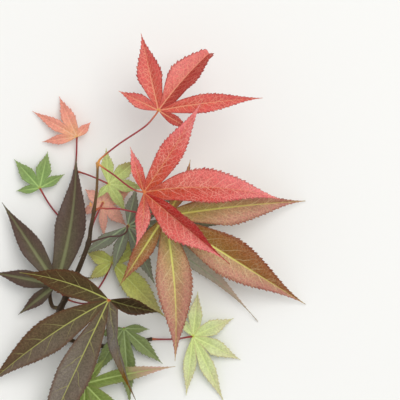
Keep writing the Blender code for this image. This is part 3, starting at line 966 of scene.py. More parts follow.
        width = np.linalg.norm(edge - middle, axis=1)[:, None]
        across = s * width
        along = (share * surface.length)[:, None] + 0.0 * s
        spacing = surface.length / self.finish.pairs
        veins = (along - VEIN_RAKE * across * (1.0 + VEIN_SWEEP * s)) / spacing
        veins = veins + (0.5 if side is Side.LEFT else 0.0)
        beside = np.abs(veins - np.round(veins)) * spacing * VEIN_SLANT
        slender = np.clip(width / FULL_RELIEF_WIDTH, 0.0, 1.0)
        free = smoothstep(0.0, WAVE_START, beyond_notch)[:, None]
        groove = (VEIN_GROOVE * np.exp(-(beside / VEIN_GROOVE_WIDTH) ** 2)
                  * np.clip(across / GROOVE_START, 0.0, 1.0)
                  * np.clip(1.3 - 1.3 * s, 0.0, 1.0))
        quilt = QUILT * np.sin(math.pi * veins) ** 2 * np.sin(math.pi * s) ** 2
        ridge = RIB_HEIGHT * np.exp(-(across / RIB_WIDTH) ** 2) * (1.0 - 0.8 * share)[:, None]
        valley = VALLEY_DEPTH * np.exp(-(across / VALLEY_WIDTH) ** 2)
        knob = FOOT_KNOB * np.exp(-(along / FOOT_KNOB_WIDTH) ** 2)
        wave = (WAVE_HEIGHT * width * s ** 2 * free
                * np.sin(2.0 * math.pi * along / WAVE_LENGTH + phase))
        arch = ARCH * width * np.sin(math.pi * s)
        if self.attitude is Attitude.FACE_UP:
            lift = 0.35 * ridge - valley - groove + quilt
            rib = ridge + groove
        else:
            lift = ridge + 1.5 * groove - 0.5 * quilt
            rib = 0.2 * ridge
        seam = np.where(beyond_notch[:, None] > 0.0, 1.0, np.sin(0.5 * math.pi * (1.0 - s)))
        lift = (lift * seam + arch + wave) * slender + knob
        points = points + lift[:, :, None] * surface.frame(share)[1][:, None, :]
        thickness = (BLADE_THICKNESS + (RIM_THICKNESS - BLADE_THICKNESS) * s ** 4
                     + (rib * slender + knob) * seam)

        which = 0 if side is Side.LEFT else 1
        flat = np.ones_like(across)
        maps = {
            "Blade": (along / UV_SPAN, 0.5 + side.value * across / UV_SPAN),
            "Lobe": (share[:, None] * flat, s * flat),
            "Vein": (veins, surface.lobe.rib * flat),
            # The fourth map: the half's level of painted sheen and painted shade, and its
            # accent.
            "Tint": ((0.5 + 0.5 * surface.lobe.painted_shading[which]) * flat,
                     surface.lobe.accents[which] * flat),
        }
        return {"points": points, "thickness": thickness,
                "maps": {name: np.stack(pair, axis=-1) for name, pair in maps.items()}}

    def sheet(self) -> Sheet:
        """Welds the half lobes into one sheet, gives it its thickness and closes its rim.

        Returns:
            The closed surface of the whole leaf.
        """
        foot = np.array(self.foot, float)
        surfaces = [LobeSurface(foot, lobe) for lobe in self.lobes]
        phases = np.random.default_rng(self.seed).uniform(0.0, 2.0 * math.pi,
                                                          (len(surfaces), 2))
        points, thickness, triangles, first = [], [], [], 0
        maps = {name: [] for name in BLADE_MAPS}
        for surface, sides, pair in zip(surfaces, self.notches(surfaces), phases):
            for side, phase in zip(Side, pair):
                half = self.half_lobe(surface, side, sides, phase)
                rows, columns = half["thickness"].shape
                points.append(half["points"].reshape(-1, 3))
                thickness.append(half["thickness"].ravel())
                for name, values in half["maps"].items():
                    maps[name].append(values.reshape(-1, 2))
                triangles.append(first + grid_triangles(rows, columns, side is Side.RIGHT))
                first += rows * columns
        upper, top, corners, kept = weld(np.vstack(points), np.vstack(triangles))
        depth = np.concatenate(thickness)[kept]
        lower = upper - depth[:, None] * point_normals(upper, top)
        count = len(upper)
        # An edge that only one triangle has is on the rim, and gets a wall.
        starts, ends, start_corners, end_corners = (
            np.roll(rows, -turn, axis=1).T.ravel()
            for rows in (top, corners) for turn in (0, 1))
        rim = ~np.isin(starts * count + ends, ends * count + starts)
        a, b, corner_a, corner_b = (values[rim] for values in (starts, ends, start_corners,
                                                               end_corners))
        walls = np.vstack([np.column_stack([a, a + count, b + count]),
                           np.column_stack([a, b + count, b])])
        wall_corners = np.vstack([np.column_stack([corner_a, corner_a, corner_b]),
                                  np.column_stack([corner_a, corner_b, corner_b])])
        all_corners = np.vstack([corners, corners[:, ::-1], wall_corners]).ravel()
        face_down = self.attitude.value
        return Sheet(
            points=np.vstack([upper, lower]),
            triangles=np.vstack([top, top[:, ::-1] + count, walls]),
            corner_maps={name: np.vstack(values)[all_corners]
                         for name, values in maps.items()},
            point_values={"under": np.repeat([face_down, 1.0 - face_down], count)},
        )

    def build(self) -> bpy.types.Object:
        """Makes the leaf's piece, which rides on the twig and replaces its node.

        Returns:
            The piece.
        """
        piece = self.sheet().build(self.name.replace("leaf", "blade"),
                                   self.finish.material())
        return fitted(piece, self.name)


def fitted(piece: bpy.types.Object, node: str) -> bpy.types.Object:
    """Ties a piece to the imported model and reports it.

    Args:
        piece: The piece.
        node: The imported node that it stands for.

    Returns:
        The piece.
    """
    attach(piece, "root")
    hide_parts(node)
    LOG.info("%s: %d triangles, stands for %s", piece.name, len(piece.data.polygons), node)
    return piece


def travelled(axis: np.ndarray) -> np.ndarray:
    """Distance along a path at each of its points, mm."""
    return np.append(0.0, np.cumsum(np.linalg.norm(np.diff(axis, axis=0), axis=1)))


def ring_angles(sides: int) -> np.ndarray:
    """Angles of a ring's points, the first one once more at the end for the maps' seam."""
    return np.append(np.linspace(0.0, 2.0 * math.pi, sides, endpoint=False), 0.0)


def tube(axis: np.ndarray, radii: np.ndarray, relief: np.ndarray, span: float,
         cut_end: bool = False) -> Sheet:
    """A limb of round section carried along a path.

    A ring's point is its centre plus the radius times cosine and sine of the angle along
    two directions square to the path. Each end is a dome, a quarter circle of shrinking
    rings, but a cut end is flat.

    Args:
        axis: The path's points, mm.
        radii: The radius at each.
        relief: What is added to the radius, ring by ring and point by point.
        span: Length that the map along the limb covers, mm.
        cut_end: Whether the last end is a flat cut.

    Returns:
        The closed surface.
    """
    tangent = unit(np.gradient(axis, axis=0))
    reference = np.eye(3)[int(np.argmin(np.abs(tangent).max(axis=0)))]
    level = unit(np.cross(reference, tangent))
    upright = np.cross(tangent, level)
    columns = relief.shape[1]
    angle = ring_angles(columns - 1)
    dome = np.linspace(0.0, 0.5 * math.pi, DOME_RINGS + 1)[1:]
    shrink, offset = np.cos(dome), np.sin(dome)
    shrink[-1] = 0.0
    last_shrink, last_offset = (CUT_RINGS, 0.0 * CUT_RINGS) if cut_end else (shrink, offset)
    count = len(axis)
    index = np.concatenate([np.zeros(DOME_RINGS, int), np.arange(count),
                            np.full(len(last_shrink), count - 1)])
    scale = np.concatenate([shrink[::-1], np.ones(count), last_shrink])
    ahead = np.concatenate([-offset[::-1], np.zeros(count), last_offset])
    full = (radii[:, None] + relief)[index]
    radius = scale[:, None] * full
    centres = axis[index] + (ahead * full.mean(axis=1))[:, None] * tangent[index]
    points = (centres[:, None, :]
              + (radius * np.cos(angle))[:, :, None] * level[index][:, None, :]
              + (radius * np.sin(angle))[:, :, None] * upright[index][:, None, :])
    merged, triangles, corners, kept = weld(points.reshape(-1, 3),
                                            grid_triangles(len(index), columns, True))
    cut = np.where(np.arange(len(index)) < DOME_RINGS + count, 0.0, float(cut_end))
    lengths = np.column_stack([np.repeat(travelled(axis)[index] / span, columns),
                               np.tile(np.linspace(0.0, 1.0, columns), len(index))])
    return Sheet(merged, triangles, corner_maps={"Length": lengths[corners.ravel()]},
                 point_values={"cut": np.repeat(cut, columns)[kept]})


@dataclass(frozen=True)
class Limb:
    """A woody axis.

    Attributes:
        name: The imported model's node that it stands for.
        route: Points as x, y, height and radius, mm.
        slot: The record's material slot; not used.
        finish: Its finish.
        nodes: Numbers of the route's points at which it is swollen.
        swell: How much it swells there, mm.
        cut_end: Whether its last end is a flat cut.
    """

    name: str
    route: tuple
    slot: str
    finish: BarkFinish
    nodes: tuple
    swell: float
    cut_end: bool = False

    def build(self) -> bpy.types.Object:
        """Makes the limb: a tapering tube, swollen and ringed at its nodes, with wrinkles.

        The rings are two fine grooves, bells of the distance along the limb on either side
        of a node, and the wrinkles are sines of the angle that drift along it.

        Returns:
            The piece.
        """
        path = smooth_route(self.route, WOOD_STEP)
        axis, radii = path[:, :3], path[:, 3].copy()
        along = travelled(axis)
        angle = ring_angles(WOOD_SIDES)
        relief = sum(height * np.sin(waves * angle[None, :] + drift * along[:, None])
                     for waves, drift, height in WRINKLES)
        relief *= (radii / radii.max())[:, None]
        for index in self.nodes:
            away = along - along[np.argmin(np.linalg.norm(
                axis - np.array(self.route[index][:3]), axis=1))]
            radii += self.swell * np.exp(-(away / NODE_LENGTH) ** 2)
            for offset in (-RING_OFFSET, RING_OFFSET):
                radii -= RING_DEPTH * np.exp(-((away - offset) / RING_WIDTH) ** 2)
            radii += RIDGE_HEIGHT * np.exp(-(away / RIDGE_WIDTH) ** 2)
        surface = tube(axis, radii, relief, UV_SPAN, self.cut_end)
        piece = surface.build(self.name + "_bark", self.finish.material())
        return fitted(piece, self.name)


@dataclass(frozen=True)
class Stalk:
    """A leaf's stalk, from inside the wood's skin to the foot of the blade.

    Attributes:
        leaf: The leaf that it carries.
        start: The middle of the wood that it leaves, mm.
        route: Points that it passes, mm.
        finish: Its finish.
    """

    leaf: PalmateLeaf
    start: tuple
    route: tuple
    finish: StalkFinish

    def build(self) -> bpy.types.Object:
        """Makes the stalk: a slender tube with a clasping foot and a swollen tip.

        Its radius is the plain one plus two decaying flares, of the distance from the wood
        and of the distance from the blade. It meets a turned leaf from above.

        Returns:
            The piece.
        """
        seat = STALK_SEAT * STALK_RADIUS
        if self.leaf.attitude is Attitude.FACE_UP:
            seat = -(BLADE_THICKNESS + seat)
        end = np.array(self.leaf.foot, float) + [0.0, 0.0, seat]
        first = np.array(self.route[0], float)
        begin = np.array(self.start, float)
        begin = begin + STALK_LEAD * (first - begin) / max(1.0, np.linalg.norm(first - begin))
        axis = smooth_route([begin, *self.route, end], STALK_STEP)
        along = travelled(axis)
        radii = (STALK_RADIUS + STALK_FOOT_FLARE * np.exp(-along / FLARE_LENGTH)
                 + STALK_TIP_FLARE * np.exp(-(along[-1] - along) / FLARE_LENGTH))
        surface = tube(axis, radii, np.zeros((len(axis), STALK_SIDES + 1)), along[-1])
        piece = surface.build(self.leaf.name.replace("leaf", "petiole"),
                              self.finish.material())
        return fitted(piece, self.leaf.name.replace("leaf", "stalk"))


@dataclass(frozen=True)
class Bud:
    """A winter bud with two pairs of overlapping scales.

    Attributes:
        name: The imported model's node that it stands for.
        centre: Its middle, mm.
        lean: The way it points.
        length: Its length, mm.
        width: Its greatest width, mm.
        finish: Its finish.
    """

    name: str
    centre: tuple
    lean: tuple
    length: float
    width: float
    finish: BarkFinish

    def build(self) -> bpy.types.Object:
        """Makes the bud: a turned drop, stepped where each pair of scales ends.

        The radius is the half width times a sine that is widest below the middle, and each
        scale's edge is a small step that rises and falls with the cosine of twice the angle.

        Returns:
            The piece.
        """
        share = np.linspace(0.0, 1.0, BUD_ROWS)
        lean = unit(np.array(self.lean))
        axis = np.array(self.centre) + np.outer((share - 0.5) * self.length, lean)
        radii = 0.5 * self.width * np.sin(math.pi * share ** 0.8) ** 0.8
        angle = ring_angles(STALK_SIDES)
        relief = np.zeros((len(share), len(angle)))
        for end, turn in ((0.55, 0.0), (0.82, 0.5 * math.pi)):
            edge = end + 0.10 * np.cos(2.0 * angle + 2.0 * turn)
            relief -= SCALE_STEP * smoothstep(-0.02, 0.02, share[:, None] - edge[None, :])
        relief *= np.sin(math.pi * share)[:, None]
        surface = tube(axis, radii, relief, UV_SPAN)
        piece = surface.build(self.name + "_scales", self.finish.material())
        return fitted(piece, self.name)


STEM = ((-50.5, 18.0, 37.0, 0.62), (-51.1, 5.2, 33.0, 0.68), (-52.5, -5.5, 29.0, 0.85),
        (-54.2, -14.0, 25.5, 0.98), (-55.4, -21.5, 22.2, 1.12), (-60.3, -34.3, 17.5, 1.25),
        (-67.0, -49.0, 12.5, 1.45), (-69.5, -54.0, 10.5, 1.5), (-73.0, -63.0, 7.0, 1.6),
        (-77.0, -75.0, 1.5, 1.65))
UPPER_SHOOT = ((-69.5, -54.0, 10.5, 1.0), (-74.0, -52.5, 5.0, 1.0), (-75.0, -42.5, 1.6, 0.95),
               (-72.0, -27.5, 1.0, 0.9), (-68.0, -10.0, 0.9, 0.85), (-64.5, 5.0, 0.9, 0.8),
               (-62.5, 14.5, 1.0, 0.75))
LOWER_SHOOT = ((-73.0, -63.0, 7.0, 1.1), (-69.0, -68.0, 3.0, 1.1), (-60.0, -71.5, 1.4, 1.0),
               (-50.0, -73.0, 1.0, 0.95), (-37.5, -72.0, 0.95, 0.9), (-24.5, -69.5, 0.9, 0.8))

# Places on the wood's middle line at which stalks stand.
NODES = {
    "top": STEM[0][:3], "second": STEM[2][:3], "third": STEM[4][:3], "fourth": STEM[6][:3],
    "fifth": STEM[7][:3], "upper_shoot_middle": UPPER_SHOOT[4][:3],
    "upper_shoot_end": UPPER_SHOOT[-1][:3],
    "lower_shoot_foot": LOWER_SHOOT[3][:3], "lower_shoot_middle": LOWER_SHOOT[4][:3],
    "lower_shoot_end": LOWER_SHOOT[5][:3],
}

STEM_BARK = BarkFinish("maple_bark_first_year", top="BE8A4C", upper="6A4E2C", lower="3C2C1A",
                       top_length=3.6)
SHOOT_BARK = BarkFinish("maple_bark_green_shoot", top="6A5A30", upper="4E3A24",
                        lower="40301E", top_length=4.0)
BUD_SCALES = BarkFinish("maple_bud_scale", top="E8B070", upper="D89A5C", lower="C4864A",
                        top_length=1.0)
RED_STALK = StalkFinish("maple_leaf_stalk_red", foot="B8602E", middle="962A32", tip="B0483C")
AMBER_STALK = StalkFinish("maple_leaf_stalk_amber", foot="E09A44", middle="94282E",
                          tip="D07450")
# A darker copy of the stalk finish for the grey leaf's stalk: painted shade.
PAINTED_SHADE_STALK = StalkFinish("maple_leaf_stalk_painted_shade", foot="5A3A24", middle="4A2A24",
                          tip="6A3A2C", slot="shaded_stalk")

LIMBS = (
    Limb("stem", STEM, "bark", STEM_BARK, nodes=(0, 2, 4, 6, 7, 8), swell=0.34,
         cut_end=True),
    Limb("upper_shoot", UPPER_SHOOT, "young_bark", SHOOT_BARK, nodes=(6,), swell=0.12),
    Limb("lower_shoot", LOWER_SHOOT, "young_bark", SHOOT_BARK, nodes=(5,), swell=0.12),
)
BUD = Bud("bud", centre=(-54.15, -2.1, 30.3), lean=(-0.12, 0.93, 0.35), length=2.8, width=1.5,
          finish=BUD_SCALES)

# In each blade finish, pale is the colour of painted sheen and dark the colour of painted
# shade.
CORAL = BladeFinish(
    "maple_blade_coral", foot="CC5648", middle="D2504E", tip="C44646", painted_sheen="EC8C86",
    painted_shade="9A2C26", heart="CC5A3A", rim="862226", midrib="E6A482", net="F0A48C",
    under="DC8474", dot="DC9C5C", midrib_half=0.34, heart_strength=0.5, rim_start=0.84,
    rim_strength=0.8, net_strength=0.75, vein_strength=0.75, foot_rib=0.85, tip_rib=0.45,
    net_cell=1.8, pairs=13, shine=0.1)
CRIMSON = BladeFinish(
    "maple_blade_crimson", foot="B44022", middle="CC4844", tip="E68084", painted_sheen="EA8884",
    painted_shade="AE1818", heart="B44626", rim="8A2428", midrib="D48E64", net="F2B09C",
    under="D08074", dot="D8804C", midrib_half=0.34, heart_strength=0.55, rim_start=0.84,
    rim_strength=0.7, net_strength=0.75, vein_strength=0.58, foot_rib=0.7, tip_rib=0.25,
    net_cell=1.8, mottling=0.17, shine=0.08)
BRONZE = BladeFinish(
    "maple_blade_bronze", foot="9E9844", middle="AC6C50", tip="8E3A38", painted_sheen="D6A094",
    painted_shade="864C14", heart="A8A44A", rim="76281E", midrib="DCDC78", net="DCC89A",
    under="A8A07A", dot="BEC04A", midrib_half=0.68, heart_strength=0.92, rim_start=0.76,
    rim_strength=0.68, net_strength=0.55, vein_strength=0.6, foot_rib=0.95, tip_rib=0.25,
    net_cell=1.9, mottling=0.2, pairs=9, shine=0.16)
PURPLE = BladeFinish(
    "maple_blade_purple", foot="544528", middle="5A442A", tip="5C3A24", painted_sheen="888078",
    painted_shade="2A1C0A", heart="5C5634", rim="5C3020", midrib="B4B664", net="A29C60",
    under="7A7468", accent="7C5206", dot="B8683A", midrib_half=0.38, heart_strength=0.4,
    rim_start=0.75, rim_strength=0.5, net_strength=0.16, vein_strength=0.7, foot_rib=0.85,
    tip_rib=0.55, net_cell=2.4, mottling=0.24, pairs=6, shine=0.1)
GREY = BladeFinish(
    "maple_blade_grey_underside", foot="727862", middle="7C7C68", tip="9C8270",
    painted_sheen="BEBAA8", painted_shade="5A5E4A", rim="6C5A50", midrib="9AAC84", net="8A907A",
    under="7A806C", accent="B89A86", dot="C89A4A", midrib_half=0.5, net_strength=0.25,
    vein_strength=0.35)
UMBER = BladeFinish(
    "maple_blade_umber", foot="5E5640", middle="56443A", tip="523A32", painted_sheen="766A60",
    painted_shade="402E26", heart="6A6A4A", rim="48342E", midrib="868A60", net="6A624E",
    under="5E5850", midrib_half=1.2, foot_rib=0.75, heart_strength=0.5, net_strength=0.15,
    vein_strength=0.25, pairs=8)
SALMON = BladeFinish(
    "maple_blade_salmon", foot="E2A878", middle="E89A84", tip="D88676", painted_sheen="EEB09E",
    painted_shade="C67460", rim="D28472", midrib="EABC9C", net="ECAE9A", under="F0B6A4",
    dot="E0AC6C", midrib_half=0.3)
LIME = BladeFinish(
    "maple_blade_lime", foot="C2D280", middle="CED89E", tip="D0C29E", painted_sheen="D8E2B0",
    painted_shade="90A650", rim="C0AA80", midrib="D6E498", net="CCDA8E", under="C0D08C",
    dot="C0CC60")
FERN = BladeFinish(
    "maple_blade_fern", foot="76883E", middle="7A8A42", tip="889050", painted_sheen="9CAA70",
    painted_shade="56703A", rim="827E4C", midrib="AABE70", net="96AA64", under="88A062",
    accent="C89A8E", dot="94B048", midrib_half=0.5)
OLIVE = BladeFinish(
    "maple_blade_olive", foot="BCC462", middle="BABC64", tip="B8A874", painted_sheen="CCD088",
    painted_shade="828A4A", rim="A89C6A", midrib="CCD484", net="C2C882", under="A8AA74",
    dot="C8BC60", midrib_half=0.45)
MOSS = BladeFinish(
    "maple_blade_moss", foot="788850", middle="7A8850", tip="848C5C", painted_sheen="9CA984",
    painted_shade="56684A", rim="727A58", midrib="A2B47C", net="8E9E74", under="808E6C",
    dot="8CA850")
SAGE = BladeFinish(
    "maple_blade_sage", foot="C0D280", middle="BCCC7E", tip="B0AC74", painted_sheen="D0DC9C",
    painted_shade="8CA056", rim="A8A26A", midrib="D0DE92", net="C6D28A", under="BCCC8C",
    accent="8E7E50", dot="C4CC70")
JADE = BladeFinish(
    "maple_blade_jade", foot="84A45C", middle="829C5A", tip="8C9C62", painted_sheen="A8BC82",
    painted_shade="587844", rim="7C8A50", midrib="AEC87C", net="98B476", under="8AA270",
    dot="A0B058")

# Each lobe's tones paint sheen on its halves up to 1 and shade down to -1.
LEAVES = (
    PalmateLeaf("coral_leaf", (-20.5, 44.2, 40.0), (
        Lobe((-40.5, 54.0, 35.0), 3.7, painted_shading=(0.15, 0.15)),
        Lobe((-29.2, 82.5, 36.0), 6.7, roll=-12.0, shoulder=1.0, painted_shading=(0.15, -0.1)),
        Lobe((12.0, 79.2, 36.0), 8.5, bow=1.5, fold=30.0, roll=-21.0, curl=13.0,
             shoulder=1.2, painted_shading=(0.55, -0.75)),
        Lobe((31.3, 50.5, 31.0), 4.9, bow=0.8, painted_shading=(0.05, 0.0)),
        Lobe((-4.5, 34.5, 34.0), 2.6, painted_shading=(-0.5, -0.6))),
        CORAL, teeth=0.095, seed=1),
    PalmateLeaf("crimson_leaf", (-27.7, 3.8, 46.0), (
        Lobe((-34.5, 26.5, 42.0), 3.1),
        Lobe((1.8, 50.2, 45.0), 6.2, bow=-0.8, fold=18.0, slim=1.2, painted_shading=(0.1, 0.0)),
        Lobe((41.0, 0.0, 24.0), 9.2, bow=4.2, fold=18.0, roll=-18.0, painted_shading=(0.35, -0.15)),
        Lobe((15.0, -32.0, 34.0), 9.2, fold=37.0, roll=25.0, slim=1.5, painted_shading=(-0.9, 0.2)),
        Lobe((-32.0, -23.5, 38.0), 3.9, bow=1.6, painted_shading=(0.35, 0.3))),
        CRIMSON, teeth=0.10, seed=2),
    PalmateLeaf("bronze_leaf", (-17.5, -8.0, 32.0), (
        Lobe((-4.8, 20.2, 30.0), 3.6, bow=-2.2),
        Lobe((53.0, -0.5, 0.9), 9.3, bow=1.0, fold=28.0, roll=10.0, shoulder=1.3,
             painted_shading=(0.15, 0.4)),
        Lobe((53.0, -52.3, 0.88), 10.8, fold=22.0, shoulder=1.3, painted_shading=(-0.75, 0.35)),
        Lobe((-12.5, -80.5, 12.0), 9.7, bow=2.5, fold=22.0, painted_shading=(0.3, 0.35)),
        Lobe((-40.2, -43.0, 22.0), 4.9, roll=-8.0, painted_shading=(-0.5, -0.45))),
        BRONZE, teeth=0.075, seed=3),
    PalmateLeaf("purple_leaf", (-45.2, -49.5, 27.0), (
        Lobe((-19.5, -55.8, 24.0), 4.3, bow=-0.5, painted_shading=(-0.9, -0.8), rib=0.25),
        Lobe((-32.0, -100.0, 14.0), 5.2, bow=-2.0, roll=58.0, painted_shading=(0.9, 1.0),
             accents=(0.0, 1.0), rib=0.3),
        Lobe((-85.0, -134.0, 0.94), 9.0, painted_shading=(0.45, 0.7)),
        Lobe((-108.0, -94.0, 3.0), 9.0, bow=-2.5, painted_shading=(0.35, 0.1)),
        Lobe((-90.0, -36.0, 20.0), 6.9, bow=-2.2, painted_shading=(-0.25, -0.3))),
        PURPLE, teeth=0.055, seed=4),
    PalmateLeaf("grey_leaf", (-36.0, -13.0, 20.0), (
        Lobe((-31.5, 7.0, 17.0), 3.4, fold=-18.0, shoulder=1.2),
        Lobe((-12.0, 2.0, 16.0), 3.2, fold=-18.0, shoulder=1.2),
        Lobe((13.5, -12.0, 13.0), 4.1, fold=-18.0, shoulder=1.1),
        Lobe((29.0, -61.0, 0.8), 5.4, bow=5.0, fold=-18.0, roll=36.0, shoulder=1.0,
             slim=1.4, painted_shading=(0.9, 0.8), accents=(0.9, 0.9)),
        Lobe((-22.0, -43.0, 13.0), 4.2, fold=-18.0, shoulder=1.1),
        Lobe((-43.5, -36.5, 12.0), 3.2, bow=-0.6, fold=-18.0, shoulder=1.0),
        Lobe((-60.5, -28.5, 12.0), 3.4, fold=-18.0, shoulder=1.0)),
        GREY, attitude=Attitude.FACE_DOWN, seed=5),
    PalmateLeaf("umber_leaf", (-71.5, -42.0, 12.0), (
        Lobe((-91.0, -57.5, 5.0), 3.4),
        Lobe((-104.0, -36.0, 5.0), 4.6),
        Lobe((-99.0, -1.0, 4.0), 5.8, shoulder=1.3),
        Lobe((-61.8, 22.5, 8.5), 8.1, bow=-2.6, shoulder=1.3, painted_shading=(0.1, 0.0)),
        Lobe((-53.5, -38.5, 7.0), 2.8)),
        UMBER, teeth=0.04, seed=6),
    PalmateLeaf("outer_salmon_leaf", (-61.5, 31.5, 6.0), (
        Lobe((-79.0, 29.0, 2.0), 2.6),
        Lobe((-84.0, 44.5, 1.0), 3.0, shoulder=1.2),
        Lobe((-70.5, 52.0, 1.6), 3.6, shoulder=1.2),
        Lobe((-54.5, 39.0, 3.0), 2.3)),
        SALMON, seed=7),
    PalmateLeaf("inner_salmon_leaf", (-48.5, -1.5, 9.0), (
        Lobe((-60.5, -7.5, 3.5), 2.4),
        Lobe((-57.5, 5.5, 4.0), 3.0),
        Lobe((-45.4, 9.5, 5.0), 2.4),
        Lobe((-34.5, 4.5, 4.5), 4.0, shoulder=1.2),
        Lobe((-36.5, -13.0, 4.5), 3.4),
        Lobe((-48.0, -19.0, 4.0), 2.2)),
        SALMON, attitude=Attitude.FACE_DOWN, seed=8),
    PalmateLeaf("lime_leaf", (-3.5, -68.0, 5.5), (
        Lobe((-10.5, -57.5, 3.0), 2.2),
        Lobe((-1.0, -45.5, 2.0), 3.6),
        Lobe((17.0, -59.0, 1.6), 4.0, shoulder=1.3),
        Lobe((20.5, -80.0, 1.0), 4.2, shoulder=1.2),
        Lobe((12.0, -101.0, 1.0), 3.8, shoulder=1.2),
        Lobe((-7.0, -98.0, 2.0), 3.4)),
        LIME, seed=9),
    PalmateLeaf("fern_leaf", (-57.5, -91.5, 10.0), (
        Lobe((-47.0, -78.5, 8.0), 2.6),
        Lobe((-12.0, -83.0, 7.0), 3.6, bow=0.8, accents=(0.9, 0.9)),
        Lobe((-34.5, -116.0, 2.0), 5.2),
        Lobe((-58.0, -126.0, 0.96), 5.4),
        Lobe((-81.0, -114.0, 3.0), 4.6)),
        FERN, seed=10),
    PalmateLeaf("olive_leaf", (-44.0, -31.0, 6.5), (
        Lobe((-56.0, -40.0, 2.8), 3.2),
        Lobe((-57.0, -26.0, 3.5), 3.8),
        Lobe((-25.5, -18.0, 4.0), 4.4),
        Lobe((-17.0, -59.0, 1.6), 6.2)),
        OLIVE, seed=11),
    PalmateLeaf("moss_leaf", (-38.0, -64.0, 6.5), (
        Lobe((-25.0, -64.5, 4.5), 2.4),
        Lobe((-18.5, -82.0, 2.5), 3.8, shoulder=1.3),
        Lobe((-35.0, -103.0, 2.0), 4.6, shoulder=1.2),
        Lobe((-54.0, -89.0, 2.5), 3.8, shoulder=1.3),
        Lobe((-51.5, -67.5, 4.5), 2.6)),
        MOSS, seed=12),
    PalmateLeaf("sage_leaf", (-45.5, 8.0, 15.0), (
        Lobe((-46.8, 26.0, 11.0), 3.4, shoulder=1.2),
        Lobe((-30.5, 20.8, 10.5), 3.9, shoulder=1.2, accents=(1.0, 0.7)),
        Lobe((-27.0, 6.0, 11.5), 3.3, shoulder=1.1),
        Lobe((-36.5, -6.5, 12.0), 2.8, shoulder=1.2),
        Lobe((-51.5, 0.5, 13.2), 1.8)),
        SAGE, seed=13),
    PalmateLeaf("jade_leaf", (-80.0, 6.0, 5.0), (
        Lobe((-92.0, 4.5, 1.6), 2.2),
        Lobe((-93.0, 20.5, 1.2), 3.6, shoulder=1.3),
        Lobe((-76.0, 24.5, 1.6), 4.0, shoulder=1.2),
        Lobe((-67.5, 13.0, 1.8), 2.6, shoulder=1.3)),
        JADE, seed=14),
)

# Stalks: leaf, where it stands on the wood, the points that it passes and its finish.
STALKS = (
    ("coral", "top", ((-48.6, 20.8, 38.0), (-39.7, 27.8, 40.0), (-27.5, 36.0, 40.2),
                      (-22.6, 41.2, 38.9)), AMBER_STALK),
    ("crimson", "top", ((-48.4, 16.4, 37.6), (-42.0, 12.0, 39.6), (-36.6, 7.7, 42.2),
                        (-32.0, 4.8, 43.8)), AMBER_STALK),
    ("bronze", "second", ((-49.7, -4.0, 29.6), (-46.6, -4.3, 30.0), (-40.5, -4.3, 30.4),
                          (-32.5, -5.9, 30.4), (-24.0, -6.9, 30.2)), RED_STALK),
    ("purple", "fourth", ((-63.0, -50.6, 14.6), (-57.5, -51.5, 18.5), (-51.0, -50.6, 23.0)),
     RED_STALK),
    ("grey", "third", ((-52.2, -20.2, 22.8), (-45.0, -18.2, 24.0), (-39.5, -17.7, 23.9),
                       (-36.6, -15.8, 23.0)), PAINTED_SHADE_STALK),
    ("umber", "fourth", ((-69.7, -45.4, 11.0),), RED_STALK),
    ("outer_salmon", "upper_shoot_end", ((-61.9, 20.0, 1.5), (-61.6, 26.0, 2.6)), RED_STALK),
    ("inner_salmon", "third", ((-55.3, -20.4, 17.0), (-53.6, -13.0, 13.6),
                               (-51.0, -6.5, 11.2)), RED_STALK),
    ("lime", "lower_shoot_end", ((-20.0, -69.6, 1.1), (-12.0, -69.4, 1.9)), RED_STALK),
    ("fern", "lower_shoot_foot", ((-52.2, -78.0, 3.6), (-55.4, -85.0, 6.4)), RED_STALK),
    ("olive", "fifth", ((-63.5, -56.4, 6.5), (-56.0, -51.5, 2.8), (-49.0, -41.5, 2.2),
                        (-45.6, -35.0, 3.4)), RED_STALK),
    ("moss", "lower_shoot_middle", ((-42.0, -70.4, 2.4), (-39.6, -67.0, 3.6)), RED_STALK),
    ("sage", "upper_shoot_end", ((-59.0, 13.6, 2.4), (-53.0, 11.4, 8.6)), RED_STALK),
    ("jade", "upper_shoot_middle", ((-71.5, -7.0, 1.4), (-76.0, -1.0, 1.9)), RED_STALK),
)


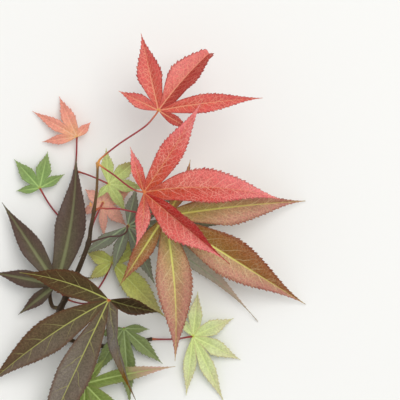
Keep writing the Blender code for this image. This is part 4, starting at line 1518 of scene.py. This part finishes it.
@dataclass(frozen=True)
class Studio:
    """An off-white floor under soft light, and a camera that looks straight down.

    Attributes:
        floor_hex: The floor's colour.
        floor_size: Its width, metres.
        field: Width of floor that the photograph's frame covers, metres.
        camera_height: The camera's height, metres; it is far away, so the view is nearly
            parallel, as in the photograph.
        sensor: The camera's sensor width, mm.
        key_place: Where the key light stands, metres from the middle of the view.
        key_size: Its width, metres.
        key_power: Its power, watts.
        key_tint: Its colour, linear.
        sky: Strength of the even light from all round.
        sky_tint: Its colour, linear.
    """

    floor_hex: str = "F1F1EE"
    floor_size: float = 30.0
    field: float = 0.2
    camera_height: float = 3.0
    sensor: float = 36.0
    key_place: tuple = (0.8, 0.9, 2.9)
    key_size: float = 2.2
    key_power: float = 43.0
    key_tint: tuple = (1.0, 0.985, 0.965)
    sky: float = 0.73
    sky_tint: tuple = (0.985, 0.99, 1.0, 1.0)

    def build(self) -> None:
        """Makes the floor, the lights, the world and the camera."""
        scene = bpy.context.scene
        scene.view_settings.view_transform = "Standard"
        half = 0.5 * self.floor_size
        mesh = bpy.data.meshes.new("floor")
        mesh.from_pydata([(-half, -half, 0.0), (half, -half, 0.0), (half, half, 0.0),
                          (-half, half, 0.0)], [], [(0, 1, 2, 3)])
        material, shader, _ = new_surface("floor_matt_paint")
        feed(shader, {"Base Color": linear(self.floor_hex), "Roughness": 0.9,
                      "Specular IOR Level": 0.1})
        mesh.materials.append(material)
        floor = linked("floor", mesh)

        middle = placed([0.0, 0.0, 0.0])
        light = bpy.data.lights.new("key", "AREA")
        light.shape = "DISK"
        light.size = self.key_size
        light.energy = self.key_power
        light.color = self.key_tint
        key = linked("key", light)
        key.location = middle + np.array(self.key_place)
        back = -np.array(self.key_place)
        key.rotation_euler = (math.atan2(math.hypot(back[0], back[1]), -back[2]), 0.0,
                              math.atan2(back[1], back[0]) - 0.5 * math.pi)

        scene.world = bpy.data.worlds.new("soft_sky")
        scene.world.use_nodes = True
        feed(scene.world.node_tree.nodes["Background"],
             {"Color": self.sky_tint, "Strength": self.sky})

        data = bpy.data.cameras.new("camera")
        data.sensor_width = self.sensor
        data.lens = self.sensor * self.camera_height / self.field
        scene.camera = linked("camera", data)
        scene.camera.location = (middle[0], middle[1], self.camera_height)


def main() -> None:
    """Builds the wood, the bud, the leaves, their stalks and the studio."""
    logging.basicConfig(level=logging.INFO, format="%(message)s")
    leaves = {leaf.name: leaf for leaf in LEAVES}
    stalks = [Stalk(leaves[name + "_leaf"], NODES[node], route, finish)
              for name, node, route, finish in STALKS]
    for part in (*LIMBS, BUD, *LEAVES, *stalks, Studio()):
        part.build()


if __name__ == "__main__":
    main()
